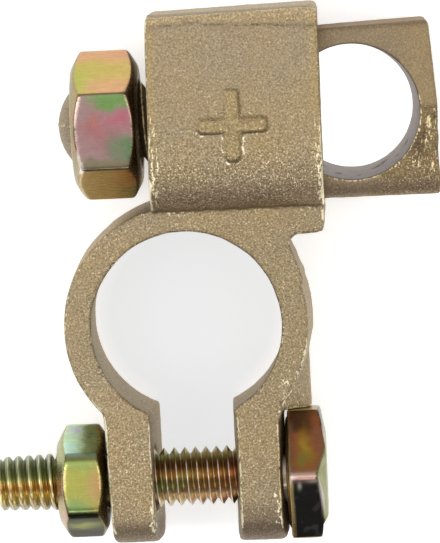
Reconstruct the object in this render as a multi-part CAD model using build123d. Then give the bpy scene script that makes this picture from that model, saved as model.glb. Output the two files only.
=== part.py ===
from build123d import *
import math
import os

# Battery terminal clamp: a split tapered ring with two ears, a sleeve cast in
# one with it, a sliding cable block with its own stud, and the fasteners.
# Millimetres.  +Z runs up the battery post, +X runs along both fasteners, +Y
# runs from the post to the sleeve.  The origin is on the post's axis, in the
# flat underside.

# ---------------------------------------------------------------- ring
ring_height = 12.5
post_land_radius = 9.30        # short parallel mouth at the underside
post_land_height = 2.0
post_top_radius = 8.96         # a slight taper above the mouth, narrower at the upper end
ring_outer_top = 11.50
ring_outer_mid = 11.86         # widest at the parting plane
ring_outer_bottom = 11.60
ring_mid_height = 6.0

# ---------------------------------------------------------------- ears
gap_left_bottom, gap_left_top = -3.45, -3.86
gap_right_bottom, gap_right_top = 3.68, 4.08
ear_draft = 0.16               # how much the ear grows from a face to the parting plane
left_ear_outer_root, left_ear_outer_end = -8.32, -7.84
left_ear_end_y = -20.57
right_ear_outer = 8.56
right_ear_end_y = -20.82
ear_corner_radius = 0.60

# ---------------------------------------------------------------- shoulder beside the bolt head
shoulder_x = 11.38
shoulder_clearance = 0.04      # left between its end and the head's flat
shoulder_height = 10.2

# ---------------------------------------------------------------- sleeve
sleeve_height = 16.0
sleeve_near_y = 11.0
sleeve_left_near, sleeve_left_far = -2.78, -2.36
sleeve_right_near, sleeve_right_far = 13.50, 13.56
sleeve_far_left, sleeve_far_right = 29.45, 29.93
sleeve_round = 3.4             # the long rounded edge above the ring
sleeve_edge = 0.75
sleeve_corner_radius = 0.9
cavity_x = -0.2                # inner face of the closed end
cavity_y0, cavity_y1 = 11.29, 28.03
cavity_z0, cavity_z1 = 1.85, 14.15
cavity_near_round = 2.2
stud_hole_radius = 4.35
web_y = 8.30                   # lower edge of the web between ring and sleeve
web_x = 13.42
web_corner_radius = 1.25
web_hollow_x, web_hollow_radius = 11.10, 1.05

# ---------------------------------------------------------------- polarity mark
mark_x, mark_y = 5.28, 19.02
mark_length_x, mark_length_y = 6.6, 6.8
mark_width = 1.68
mark_relief = 0.35

# ---------------------------------------------------------------- cable slider
slider_x0, slider_x1 = 6.8, 24.56
slider_y0, slider_y1 = 11.47, 27.85
slider_far_inner = 27.29       # the far edge leans in towards the sleeve
slider_z0, slider_z1 = 2.0, 14.0
slider_part_y = 19.9           # parting plane
slider_end_draft = 0.54        # the end falls back this much towards the far side
slider_near_draft = 0.16       # and this much towards the near side
slider_face_draft = 0.40       # the flats fall away this much towards both sides
cable_hole_x, cable_hole_y = 16.42, 19.57
cable_hole_top, cable_hole_bottom = 6.33, 5.88
stud_y, stud_z = 19.05, 8.0
stud_radius = 3.95
stud_tip_x = -11.36
stud_dome_radius = 5.0         # the as-cast end is a shallow dome

# ---------------------------------------------------------------- M8 nut
cable_nut_flats = 12.32
cable_nut_corner = 7.10        # corners are rounded off to this
cable_nut_x0, cable_nut_x1 = -9.90, -3.55
cable_nut_bore = stud_radius + 0.03
cable_nut_clock = 2.6          # degrees about X from one flat facing up

# ---------------------------------------------------------------- M6 bolt
bolt_y, bolt_z = -14.93, 7.5
bolt_radius = 2.88
bolt_tip_x = -18.9
bolt_head_x0, bolt_head_x1 = 9.02, 12.60
bolt_head_flats = 12.2
bolt_head_clock = -4.5         # degrees about X from one corner facing up
bolt_head_face_radius = 5.36
bolt_washer_face_radius = 5.20   # a thin boss under the head
bolt_washer_face_x = 8.76
bolt_hole_radius = 3.25

# ---------------------------------------------------------------- M6 nut
pinch_nut_flats = 9.85
pinch_nut_corner = 5.43        # corners are rounded off to this
pinch_nut_x0, pinch_nut_x1 = -13.08, -8.42
pinch_nut_left_face = 3.75      # the outer end is chamfered far more than the inner one
pinch_nut_bore = bolt_radius + 0.03
pinch_nut_clock = -2.9


def along_x(sketch, x0, x1, y, z):
    """A sketch drawn with its x along +Y and its y along +Z, run from x0 to x1."""
    plane = Plane(origin=(x0, y, z), x_dir=(0, 1, 0), z_dir=(1, 0, 0))
    return extrude(plane * sketch, amount=x1 - x0, dir=(1, 0, 0))


def rod(radius, x0, x1, y, z):
    return along_x(Circle(radius), x0, x1, y, z)


def turned(points, y, z):
    """A solid of revolution about a line along X; points are (x, radius)."""
    line = Polyline([(x, r, 0) for x, r in points], close=True)
    return Pos(0, y, z) * revolve(make_face(line), Axis.X)


def rounded_polygon(points, radii):
    """A closed outline with an arc of its own radius at each corner."""
    n = len(points)
    edges = []
    starts, ends = [], []
    for i, (p, r) in enumerate(zip(points, radii)):
        p = Vector(*p)
        a = Vector(*points[i - 1]) - p
        b = Vector(*points[(i + 1) % n]) - p
        a, b = a.normalized(), b.normalized()
        if r <= 0:
            starts.append(p)
            ends.append(p)
            continue
        half = math.radians(a.get_angle(b)) / 2
        run = r / math.tan(half)
        s, e = p + a * run, p + b * run
        middle = p + (a + b).normalized() * (r / math.sin(half) - r)
        starts.append(s)
        ends.append(e)
        edges.append(ThreePointArc(s, middle, e))
    for i in range(n):
        if (starts[(i + 1) % n] - ends[i]).length > 1e-6:
            edges.append(Line(ends[i], starts[(i + 1) % n]))
    return make_face(edges)


def drafted(outlines, radii):
    """A solid through rounded outlines at rising heights: [(z, points), ...]."""
    sections = [Pos(0, 0, z) * rounded_polygon(pts, radii) for z, pts in outlines]
    parts = [loft([a, b], ruled=True) for a, b in zip(sections, sections[1:])]
    whole = parts[0]
    for p in parts[1:]:
        whole += p
    return whole


# ================================================================ clamp body
def make_ear(outer_root, outer_end, end_y, side):
    levels = []
    root_y = -5.0
    for z, grow in ((0.0, 0.0), (ring_mid_height, ear_draft), (ring_height, 0.0)):
        pts = [
            (outer_root + side * grow, root_y),
            (outer_end + side * grow, end_y - grow),
            (side * 1.5, end_y - grow),
            (side * 1.5, root_y),
        ]
        levels.append((z, pts))
    return drafted(levels, [0, ear_corner_radius, 0, 0])


def clamp_body():
    ring = revolve(
        make_face(
            Polyline(
                [
                    (4.0, 0, 0),
                    (ring_outer_bottom, 0, 0),
                    (ring_outer_mid, 0, ring_mid_height),
                    (ring_outer_top, 0, ring_height),
                    (4.0, 0, ring_height),
                ],
                close=True,
            )
        ),
        Axis.Z,
    )
    left = make_ear(left_ear_outer_root, left_ear_outer_end, left_ear_end_y, -1)
    right = make_ear(right_ear_outer, right_ear_outer, right_ear_end_y, 1)

    # the shoulder that keeps the bolt head from turning
    shoulder = make_face(
        Polyline(
            [
                (7.0, 0.0, 0.0),
                (shoulder_x - 0.12, 0.0, 0.0),
                (shoulder_x, 0.0, 5.0),
                (shoulder_x - 0.06, 0.0, shoulder_height - 3.0),
                (shoulder_x - 0.75, 0.0, shoulder_height - 1.7),
                (8.6, 0.0, shoulder_height + 1.0),
                (7.0, 0.0, ring_height - 0.4),
            ],
            close=True,
        )
    )
    shoulder = Pos(0, -9.6, 0) * extrude(shoulder, amount=8.1, dir=(0, 1, 0))
    flat = bolt_head_flats / 2 + shoulder_clearance
    shoulder -= Pos(9.5, bolt_y, bolt_z) * Rot(bolt_head_clock, 0, 0) * Pos(0, flat - 5, 0) * Box(8, 10, 40)

    # the web between the ring and the sleeve, with its open corner
    web = drafted(
        [
            (0.0, [(0.0, 13.0), (0.0, web_y), (web_x, web_y), (web_x, 13.0)]),
            (ring_mid_height, [(0.0, 13.0), (0.0, web_y - 0.12), (web_x + 0.12, web_y - 0.12), (web_x + 0.12, 13.0)]),
            (ring_height, [(0.0, 13.0), (0.0, web_y), (web_x, web_y), (web_x, 13.0)]),
        ],
        [0, 0, web_corner_radius, 0],
    )
    # the ring's outside swells into the web and leaves a small concave corner
    r = web_hollow_radius
    cx, cy = web_hollow_x, web_y - r
    s45 = r * math.sqrt(0.5)
    gusset = make_face(
        [
            Line((8.0, 9.2), (cx, 9.2)),
            Line((cx, 9.2), (cx, cy + r)),
            ThreePointArc((cx, cy + r), (cx - s45, cy + s45), (cx - r, cy)),
            Spline((cx - r, cy), (10.50, 6.10), (10.93, 5.02), (11.26, 3.7)),
            Line((11.26, 3.7), (8.0, 3.7)),
            Line((8.0, 3.7), (8.0, 9.2)),
        ]
    )
    gusset = extrude(gusset, amount=ring_height)

    # the sleeve: one cross-section run along X, then trimmed in plan and in side view
    def section(x, far_y):
        profile = rounded_polygon(
            [
                (sleeve_near_y, 0.0),
                (far_y - 0.15, 0.0),
                (far_y, sleeve_height / 2),
                (far_y - 0.25, sleeve_height),
                (sleeve_near_y, sleeve_height),
            ],
            [0, sleeve_edge, 0, sleeve_edge, sleeve_round],
        )
        return Plane(origin=(x, 0, 0), x_dir=(0, 1, 0), z_dir=(1, 0, 0)) * profile

    sleeve = loft([section(-4.0, sleeve_far_left), section(16.0, sleeve_far_right)], ruled=True)
    plan = rounded_polygon(
        [
            (sleeve_left_near, 9.0),
            (sleeve_right_near, 9.0),
            (sleeve_right_far, sleeve_far_right + 0.02),
            (sleeve_left_far, sleeve_far_left + 0.02),
        ],
        [0, 0, sleeve_corner_radius, sleeve_corner_radius],
    )
    sleeve &= extrude(plan, amount=sleeve_height + 1)
    side = rounded_polygon(
        [(-2.92, -1.0), (13.94, -1.0), (13.94, 5.0), (13.82, sleeve_height), (-2.74, sleeve_height), (-2.92, 5.0)],
        [0, 0, 0, 0.45, 0.45, 0],
    )
    sleeve &= extrude(
        Plane(origin=(0, 5, 0), x_dir=(1, 0, 0), z_dir=(0, -1, 0)) * side, amount=30.0, dir=(0, 1, 0)
    )

    body = ring + left + right + shoulder + web + gusset + sleeve

    # the post bore: a parallel mouth, then the taper
    bore = revolve(
        make_face(
            Polyline(
                [
                    (0, 0, -1),
                    (post_land_radius, 0, -1),
                    (post_land_radius, 0, post_land_height),
                    (post_top_radius, 0, ring_height),
                    (post_top_radius, 0, ring_height + 1),
                    (0, 0, ring_height + 1),
                ],
                close=True,
            )
        ),
        Axis.Z,
    )
    body -= bore

    # the gap between the ears
    lean_left = (gap_left_top - gap_left_bottom) / ring_height
    lean_right = (gap_right_top - gap_right_bottom) / ring_height
    gap = make_face(
        Polyline(
            [
                (gap_left_bottom - lean_left, 0, -1),
                (gap_right_bottom - lean_right, 0, -1),
                (gap_right_top + lean_right, 0, ring_height + 1),
                (gap_left_top + lean_left, 0, ring_height + 1),
            ],
            close=True,
        )
    )
    body -= Pos(0, -26, 0) * extrude(gap, amount=21.0, dir=(0, 1, 0))
    inner_ends = [
        e
        for e in body.edges()
        if e.center().Y < -19.5
        and abs(e.center().X) < 4.4
        and abs((e @ 0).Z - (e @ 1).Z) > 3
        and abs((e @ 0).Y - (e @ 1).Y) < 0.5
    ]
    try:
        body = fillet(inner_ends, ear_corner_radius * 0.6)
    except Exception:
        print("inner ear corners left sharp", len(inner_ends))

    # the sleeve's cavity, open at +X, and the stud's hole through the closed end
    near_c = cavity_y0 + cavity_near_round
    cavity = Plane(origin=(cavity_x, 0, 0), x_dir=(0, 1, 0), z_dir=(1, 0, 0)) * rounded_polygon(
        [(cavity_y0, cavity_z0), (cavity_y1, cavity_z0), (cavity_y1, cavity_z1), (cavity_y0, cavity_z1)],
        [0.8, 0.6, 0.6, cavity_near_round],
    )
    body -= extrude(cavity, amount=20.0, dir=(1, 0, 0))
    body -= rod(stud_hole_radius, -6.0, 2.0, stud_y, stud_z)

    # the pinch bolt's hole through both ears
    body -= rod(bolt_hole_radius, -14.0, 14.0, bolt_y, bolt_z)

    # the polarity mark
    bar_x = SlotOverall(mark_length_x, mark_width)
    bar_y = SlotOverall(mark_length_y, mark_width, rotation=90)
    mark = extrude(Pos(mark_x, mark_y, sleeve_height - 0.4) * (bar_x + bar_y), amount=mark_relief + 0.4)
    body += mark
    return body


# ================================================================ cable slider
def cable_slider():
    yz = rounded_polygon(
        [
            (slider_y0, slider_z0 + slider_face_draft),
            (slider_part_y, slider_z0),
            (slider_y1, slider_z0 + slider_face_draft),
            (slider_y1, slider_z1 - slider_face_draft),
            (slider_part_y, slider_z1),
            (slider_y0, slider_z1 - slider_face_draft),
        ],
        [0.8, 0, 0.7, 0.7, 0, 1.9],
    )
    block = extrude(
        Plane(origin=(slider_x0, 0, 0), x_dir=(0, 1, 0), z_dir=(1, 0, 0)) * yz,
        amount=slider_x1 - slider_x0 + 1,
        dir=(1, 0, 0),
    )
    hair = 0.002
    plan = rounded_polygon(
        [
            (slider_x0, slider_y0 - hair),
            (slider_x1 - slider_near_draft, slider_y0 - hair),
            (slider_x1, slider_part_y),
            (slider_x1 - slider_end_draft, slider_y1 - 0.02),
            (slider_x0, slider_far_inner - 0.12),
        ],
        [0, 0.40, 0, 0.55, 0],
    )
    block &= extrude(plan, amount=20)
    hole_height = slider_z1 - slider_z0
    slope = (cable_hole_top - cable_hole_bottom) / hole_height
    hole = Pos(cable_hole_x, cable_hole_y, (slider_z0 + slider_z1) / 2) * Cone(
        cable_hole_bottom - slope, cable_hole_top + slope, hole_height + 2
    )
    block -= hole
    dome = stud_dome_radius
    start = stud_tip_x + dome - math.sqrt(dome**2 - stud_radius**2)
    half = stud_tip_x + dome - math.sqrt(dome**2 - (stud_radius / 2) ** 2)
    stud = make_face(
        [
            Line((slider_x0 + 0.5, 0), (slider_x0 + 0.5, stud_radius)),
            Line((slider_x0 + 0.5, stud_radius), (start, stud_radius)),
            ThreePointArc((start, stud_radius), (half, stud_radius / 2), (stud_tip_x, 0)),
            Line((stud_tip_x, 0), (slider_x0 + 0.5, 0)),
        ]
    )
    stud = Pos(0, stud_y, stud_z) * revolve(stud, Axis.X)
    return block + stud


# ================================================================ nuts and bolt
def hexagon(flats, x0, x1, y, z, clock):
    """A hexagonal bar along X with one flat facing up, turned by clock about X."""
    return along_x(
        RegularPolygon(flats / 2, 6, major_radius=False, rotation=clock), x0, x1, y, z
    )


def chamfer_cone(flats, face_radius, x0, x1, y, z, left=True, right=True, left_radius=None):
    """The turned envelope that takes a hexagon's corners off at 30 degrees."""
    corner = flats / math.sqrt(3) + 0.4
    depth = (corner - face_radius) * math.tan(math.radians(30))
    left_radius = left_radius or face_radius
    left_depth = (corner - left_radius) * math.tan(math.radians(30))
    points = [(x0, 0)]
    points += [(x0, left_radius), (x0 + left_depth, corner)] if left else [(x0, corner)]
    points += [(x1 - depth, corner), (x1, face_radius)] if right else [(x1, corner)]
    points += [(x1, 0)]
    return turned(points, y, z)


def nut(flats, corner, bore, x0, x1, y, z, clock, left_face=None):
    body = hexagon(flats, x0, x1, y, z, clock)
    body &= rod(corner, x0 - 1, x1 + 1, y, z)
    body &= chamfer_cone(flats, flats * 0.445, x0, x1, y, z, left_radius=left_face)
    body -= rod(bore, x0 - 1, x1 + 1, y, z)
    mouth = bore + 0.35
    for a, b in ((x0, x0 + 0.35), (x1, x1 - 0.35)):
        body -= turned([(a - (b - a), 0), (a - (b - a), mouth + 0.35), (b, bore), (b, 0)], y, z)
    return body


def pinch_bolt():
    # two flats face along the Y axis, so that the shoulder can hold one
    head = hexagon(bolt_head_flats, bolt_head_x0, bolt_head_x1, bolt_y, bolt_z, 30 + bolt_head_clock)
    head &= chamfer_cone(
        bolt_head_flats, bolt_head_face_radius, bolt_head_x0, bolt_head_x1, bolt_y, bolt_z, left=False
    )
    shank = turned(
        [
            (bolt_head_x0 + 0.5, 0),
            (bolt_head_x0 + 0.5, bolt_radius),
            (bolt_tip_x + 0.7, bolt_radius),
            (bolt_tip_x, bolt_radius - 0.75),
            (bolt_tip_x, 0),
        ],
        bolt_y,
        bolt_z,
    )
    boss = rod(bolt_washer_face_radius, bolt_washer_face_x, bolt_head_x0 + 0.5, bolt_y, bolt_z)
    return head + boss + shank


parts = {
    "clamp_body": clamp_body(),
    "cable_slider": cable_slider(),
    "cable_nut": nut(
        cable_nut_flats, cable_nut_corner, cable_nut_bore, cable_nut_x0, cable_nut_x1, stud_y, stud_z, cable_nut_clock
    ),
    "pinch_bolt": pinch_bolt(),
    "pinch_nut": nut(
        pinch_nut_flats, pinch_nut_corner, pinch_nut_bore, pinch_nut_x0, pinch_nut_x1, bolt_y, bolt_z,
        pinch_nut_clock, pinch_nut_left_face
    ),
}

os.makedirs("parts", exist_ok=True)
for name, shape in parts.items():
    solids = shape.solids()
    print(name, len(solids), [round(s.volume, 1) for s in solids], shape.bounding_box())
    export_step(shape, f"parts/{name}.step")
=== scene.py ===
import math

import bpy
import numpy as np
from mathutils import Matrix, Vector


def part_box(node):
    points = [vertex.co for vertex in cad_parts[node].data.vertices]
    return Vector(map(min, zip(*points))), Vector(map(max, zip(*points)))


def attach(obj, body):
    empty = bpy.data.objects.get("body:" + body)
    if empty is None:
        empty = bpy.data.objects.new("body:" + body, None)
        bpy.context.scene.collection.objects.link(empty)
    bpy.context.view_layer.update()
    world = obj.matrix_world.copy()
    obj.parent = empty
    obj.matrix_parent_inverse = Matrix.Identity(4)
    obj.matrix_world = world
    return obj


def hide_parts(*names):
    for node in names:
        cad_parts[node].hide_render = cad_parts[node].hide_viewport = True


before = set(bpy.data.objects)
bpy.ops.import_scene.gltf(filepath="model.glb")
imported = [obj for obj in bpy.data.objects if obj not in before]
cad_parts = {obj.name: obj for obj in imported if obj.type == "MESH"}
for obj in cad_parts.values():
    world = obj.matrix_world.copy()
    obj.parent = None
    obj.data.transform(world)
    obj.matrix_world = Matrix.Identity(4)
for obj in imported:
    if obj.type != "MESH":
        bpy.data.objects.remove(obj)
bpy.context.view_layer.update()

# Lengths in this script are worked out in millimetres and written to the
# meshes in metres.
MM = 0.001
scene = bpy.context.scene
scene.view_settings.view_transform = "Standard"
scene.view_settings.look = "None"
scene.view_settings.exposure = 0.0
scene.view_settings.gamma = 1.0


# ------------------------------------------------------------------ noise
class Grain:
    """Seeded gradient noise over points in space, about -0.7 to 0.7."""

    def __init__(self, seed):
        rng = np.random.default_rng(seed)
        self.perm = np.tile(rng.permutation(256), 3)
        g = rng.normal(size=(256, 3))
        self.grad = g / np.linalg.norm(g, axis=1, keepdims=True)

    def __call__(self, p):
        base = np.floor(p)
        f = p - base
        i = base.astype(np.int64) & 255
        u = f * f * f * (f * (f * 6 - 15) + 10)
        out = np.zeros(len(p))
        for dx in (0, 1):
            for dy in (0, 1):
                for dz in (0, 1):
                    h = self.perm[
                        self.perm[self.perm[(i[:, 0] + dx) & 255] + ((i[:, 1] + dy) & 255)]
                        + ((i[:, 2] + dz) & 255)
                    ]
                    d = (self.grad[h] * (f - np.array([dx, dy, dz]))).sum(1)
                    w = (
                        (u[:, 0] if dx else 1 - u[:, 0])
                        * (u[:, 1] if dy else 1 - u[:, 1])
                        * (u[:, 2] if dz else 1 - u[:, 2])
                    )
                    out += w * d
        return out


def step(a, b, x):
    t = np.clip((x - a) / (b - a), 0, 1)
    return t * t * (3 - 2 * t)


def bell(x, centre, width):
    return np.exp(-(((x - centre) / width) ** 2))


# ------------------------------------------------------------------ mesh tools
def link(ob):
    scene.collection.objects.link(ob)
    return ob


def mesh_object(name, verts, faces):
    me = bpy.data.meshes.new(name)
    me.from_pydata([tuple(v) for v in verts], [], faces)
    me.update()
    return link(bpy.data.objects.new(name, me))


def cad_copy(node, name):
    """A copy of a CAD node's mesh, in millimetres, welded."""
    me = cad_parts[node].data.copy()
    me.name = name
    me.materials.clear()
    ob = link(bpy.data.objects.new(name, me))
    co = get_co(me) / MM
    set_co(me, co)
    mod = ob.modifiers.new("weld", "WELD")
    mod.merge_threshold = 0.0005
    return bake_modifiers(ob)


def get_co(me):
    co = np.empty(len(me.vertices) * 3, np.float32)
    me.vertices.foreach_get("co", co)
    return co.reshape(-1, 3).astype(np.float64)


def set_co(me, co):
    me.vertices.foreach_set("co", co.astype(np.float32).ravel())
    me.update()


def get_normals(me):
    n = np.empty(len(me.vertices) * 3, np.float32)
    me.vertex_normals.foreach_get("vector", n)
    return n.reshape(-1, 3).astype(np.float64)


def bake_modifiers(ob):
    """Applies the object's modifiers to its mesh."""
    bpy.context.view_layer.update()
    dg = bpy.context.evaluated_depsgraph_get()
    me = bpy.data.meshes.new_from_object(ob.evaluated_get(dg))
    old = ob.data
    ob.modifiers.clear()
    ob.data = me
    bpy.data.meshes.remove(old)
    return ob


def drop(ob):
    me = ob.data
    bpy.data.objects.remove(ob)
    if me.users == 0:
        bpy.data.meshes.remove(me)


def joined(name, *obs):
    verts, faces, base = [], [], 0
    for o in obs:
        verts.append(get_co(o.data))
        faces += [tuple(base + i for i in p.vertices) for p in o.data.polygons]
        base += len(o.data.vertices)
        drop(o)
    return mesh_object(name, np.concatenate(verts), faces)


def boolean(ob, other, operation):
    mod = ob.modifiers.new("cut", "BOOLEAN")
    mod.operation = operation
    mod.solver = "MANIFOLD"
    mod.object = other
    bake_modifiers(ob)
    drop(other)
    return ob


def remesh(ob, voxel):
    mod = ob.modifiers.new("remesh", "REMESH")
    mod.mode = "VOXEL"
    mod.voxel_size = voxel
    mod.adaptivity = 0.0
    return bake_modifiers(ob)


def thin_out(ob, triangles):
    """Collapses the mesh to about this many triangles."""
    now = sum(len(p.vertices) - 2 for p in ob.data.polygons)
    if now > triangles:
        mod = ob.modifiers.new("thin", "DECIMATE")
        mod.ratio = triangles / now
        bake_modifiers(ob)
    return ob


def edge_list(me):
    e = np.empty(len(me.edges) * 2, np.int32)
    me.edges.foreach_get("vertices", e)
    return e.reshape(-1, 2)


def pull(field, e):
    """Mean of the neighbours less the value, at each vertex."""
    n = len(field)
    deg = np.bincount(e.ravel(), minlength=n).clip(1)
    cols = field.reshape(n, -1)
    out = np.empty_like(cols)
    for k in range(cols.shape[1]):
        c = cols[:, k]
        s = np.bincount(e[:, 0], weights=c[e[:, 1]], minlength=n)
        s += np.bincount(e[:, 1], weights=c[e[:, 0]], minlength=n)
        out[:, k] = s / deg - c
    return out.reshape(field.shape)


def relax(ob, rounds, share=0.5, weight=None):
    me = ob.data
    e, co = edge_list(me), get_co(me)
    for _ in range(rounds):
        d = pull(co, e) * share
        co += d if weight is None else d * weight[:, None]
    set_co(me, co)
    return ob


def curvature(me, voxel, rounds=2):
    """Signed bend of the surface: above zero on outside edges, below in corners."""
    e, co = edge_list(me), get_co(me)
    c = -(pull(co, e) * get_normals(me)).sum(1) / voxel
    for _ in range(rounds):
        c = c + 0.5 * pull(c, e)
    return c


def attribute(me, name, values):
    at = me.attributes.get(name) or me.attributes.new(name, "FLOAT", "POINT")
    at.data.foreach_set("value", np.asarray(values, np.float32))


def paint(me, name, rgb):
    at = me.attributes.get(name) or me.attributes.new(name, "FLOAT_COLOR", "POINT")
    at.data.foreach_set("color", np.c_[rgb, np.ones(len(rgb))].astype(np.float32).ravel())


def keep_in(co, node, margin=0.004):
    """Keeps points inside the CAD node's own box."""
    lo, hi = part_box(node)
    lo, hi = np.array(lo) / MM, np.array(hi) / MM
    return np.clip(co, lo + margin * 0.0, hi - margin * 0.0)


def finish_piece(ob, node, body, material):
    me = ob.data
    me.calc_loop_triangles()
    print("PIECE", ob.name, len(me.loop_triangles), "triangles")
    set_co(me, keep_in(get_co(me), node) * MM)
    me.materials.clear()
    me.materials.append(material)
    me.polygons.foreach_set("use_smooth", np.ones(len(me.polygons), bool))
    me.update()
    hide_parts(node)
    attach(ob, body)
    return ob


# ------------------------------------------------------------------ turned solids and threads
def turned_grid(name, xs, radius, y, z, around=96):
    """A closed solid about a line along X. radius(x, angle) gives its skin; the
    angle runs from +Y towards +Z."""
    th = np.linspace(0, 2 * math.pi, around, endpoint=False)
    xs = np.asarray(xs, float)
    X, T = np.meshgrid(xs, th, indexing="ij")
    R = radius(X, T)
    v = np.stack([X, y + R * np.cos(T), z + R * np.sin(T)], -1).reshape(-1, 3)
    n, m = len(xs), around
    i = np.arange(n - 1)[:, None] * m
    j = np.arange(m)[None, :]
    k = (j + 1) % m
    quads = np.stack([i + j, i + k, i + m + k, i + m + j], -1).reshape(-1, 4)
    faces = [tuple(q) for q in quads[:, ::-1].tolist()]
    v = np.concatenate([v, [[xs[0], y, z], [xs[-1], y, z]]])
    a, b = n * m, n * m + 1
    last = (n - 1) * m
    faces += [(a, int(q), int((q + 1) % m)) for q in range(m)]
    faces += [(b, int(last + (q + 1) % m), int(last + q)) for q in range(m)]
    faces = [tuple(reversed(f)) for f in faces]
    ob = mesh_object(name, v, faces)
    return ob


def thread_depth(X, T, pitch, phase, crest=0.07, root=0.88):
    """0 on the crest to 1 at the root of a right-hand thread."""
    u = (X / pitch - T / (2 * math.pi) - phase) % 1.0
    d = np.minimum(u, 1 - u) * 2            # 0 at the crest's middle, 1 at the root's
    return np.clip((d - crest) / (root - crest), 0, 1)


def soft_min(a, b, k):
    h = np.clip(0.5 + 0.5 * (b - a) / k, 0, 1)
    return b * (1 - h) + a * h - k * h * (1 - h)


# ------------------------------------------------------------------ materials
class Nodes:
    def __init__(self, name):
        self.mat = bpy.data.materials.new(name)
        self.mat.use_nodes = True
        self.t = self.mat.node_tree
        self.t.nodes.clear()
        self.out = self.t.nodes.new("ShaderNodeOutputMaterial")
        self.bsdf = self.t.nodes.new("ShaderNodeBsdfPrincipled")
        self.t.links.new(self.bsdf.outputs[0], self.out.inputs[0])
        self._p = None

    def new(self, kind, **props):
        n = self.t.nodes.new(kind)
        for k, v in props.items():
            setattr(n, k, v)
        return n

    def plug(self, value, socket):
        if isinstance(value, bpy.types.NodeSocket):
            self.t.links.new(value, socket)
        elif isinstance(value, (tuple, list)):
            socket.default_value = (*value, 1.0) if len(value) == 3 and len(socket.default_value) == 4 else value
        else:
            socket.default_value = value

    @property
    def place(self):
        """The point in millimetres."""
        if self._p is None:
            tc = self.new("ShaderNodeTexCoord")
            m = self.new("ShaderNodeVectorMath", operation="SCALE")
            self.t.links.new(tc.outputs["Object"], m.inputs[0])
            m.inputs["Scale"].default_value = 1 / MM
            self._p = m.outputs[0]
            self.tc = tc
        return self._p

    def math(self, op, a, b=0.0, c=None, clamp=False):
        n = self.new("ShaderNodeMath", operation=op, use_clamp=clamp)
        self.plug(a, n.inputs[0])
        self.plug(b, n.inputs[1])
        if c is not None:
            self.plug(c, n.inputs[2])
        return n.outputs[0]

    def noise(self, scale, detail=2.0, rough=0.5, place=None, distortion=0.0, output="Fac"):
        n = self.new("ShaderNodeTexNoise")
        self.plug(place if place is not None else self.place, n.inputs["Vector"])
        n.inputs["Scale"].default_value = scale
        n.inputs["Detail"].default_value = detail
        n.inputs["Roughness"].default_value = rough
        n.inputs["Distortion"].default_value = distortion
        return n.outputs[output]

    def cells(self, scale, place=None, output="Distance", feature="F1"):
        n = self.new("ShaderNodeTexVoronoi", feature=feature)
        self.plug(place if place is not None else self.place, n.inputs["Vector"])
        n.inputs["Scale"].default_value = scale
        return n.outputs[output]

    def ramp(self, x, lo, hi, a=0.0, b=1.0, smooth=True):
        n = self.new("ShaderNodeMapRange", interpolation_type="SMOOTHSTEP" if smooth else "LINEAR", clamp=True)
        self.plug(x, n.inputs["Value"])
        for k, v in (("From Min", lo), ("From Max", hi), ("To Min", a), ("To Max", b)):
            self.plug(v, n.inputs[k])
        return n.outputs[0]

    def mix(self, fac, a, b, blend="MIX"):
        n = self.new("ShaderNodeMix", data_type="RGBA", blend_type=blend, clamp_factor=True)
        self.plug(fac, n.inputs[0])
        self.plug(a, n.inputs[6])
        self.plug(b, n.inputs[7])
        return n.outputs[2]

    def attr(self, name):
        n = self.new("ShaderNodeAttribute", attribute_name=name, attribute_type="GEOMETRY")
        return n.outputs["Fac"]

    def tint(self, name):
        n = self.new("ShaderNodeAttribute", attribute_name=name, attribute_type="GEOMETRY")
        return n.outputs["Color"]

    def scaled(self, colour, by):
        n = self.new("ShaderNodeVectorMath", operation="SCALE")
        self.plug(colour, n.inputs[0])
        n.inputs["Scale"].default_value = by
        return n.outputs[0]

    def stretched(self, sx, sy, sz, shift=(0, 0, 0)):
        n = self.new("ShaderNodeMapping")
        self.plug(self.place, n.inputs["Vector"])
        n.inputs["Scale"].default_value = (sx, sy, sz)
        n.inputs["Location"].default_value = shift
        return n.outputs[0]

    def spot(self, centre, radii):
        """1 at the centre of a soft ellipsoid, 0 outside it."""
        sub = self.new("ShaderNodeVectorMath", operation="SUBTRACT")
        self.plug(self.place, sub.inputs[0])
        sub.inputs[1].default_value = centre
        div = self.new("ShaderNodeVectorMath", operation="DIVIDE")
        self.plug(sub.outputs[0], div.inputs[0])
        div.inputs[1].default_value = radii
        ln = self.new("ShaderNodeVectorMath", operation="LENGTH")
        self.plug(div.outputs[0], ln.inputs[0])
        return self.ramp(ln.outputs["Value"], 1.0, 0.0)

    def bump(self, height, strength, distance, normal=None):
        n = self.new("ShaderNodeBump")
        self.plug(height, n.inputs["Height"])
        n.inputs["Strength"].default_value = strength
        n.inputs["Distance"].default_value = distance
        if normal is not None:
            self.plug(normal, n.inputs["Normal"])
        return n.outputs[0]

    def set(self, **values):
        for k, v in values.items():
            self.plug(v, self.bsdf.inputs[k.replace("_", " ")])
        return self.mat


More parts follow.
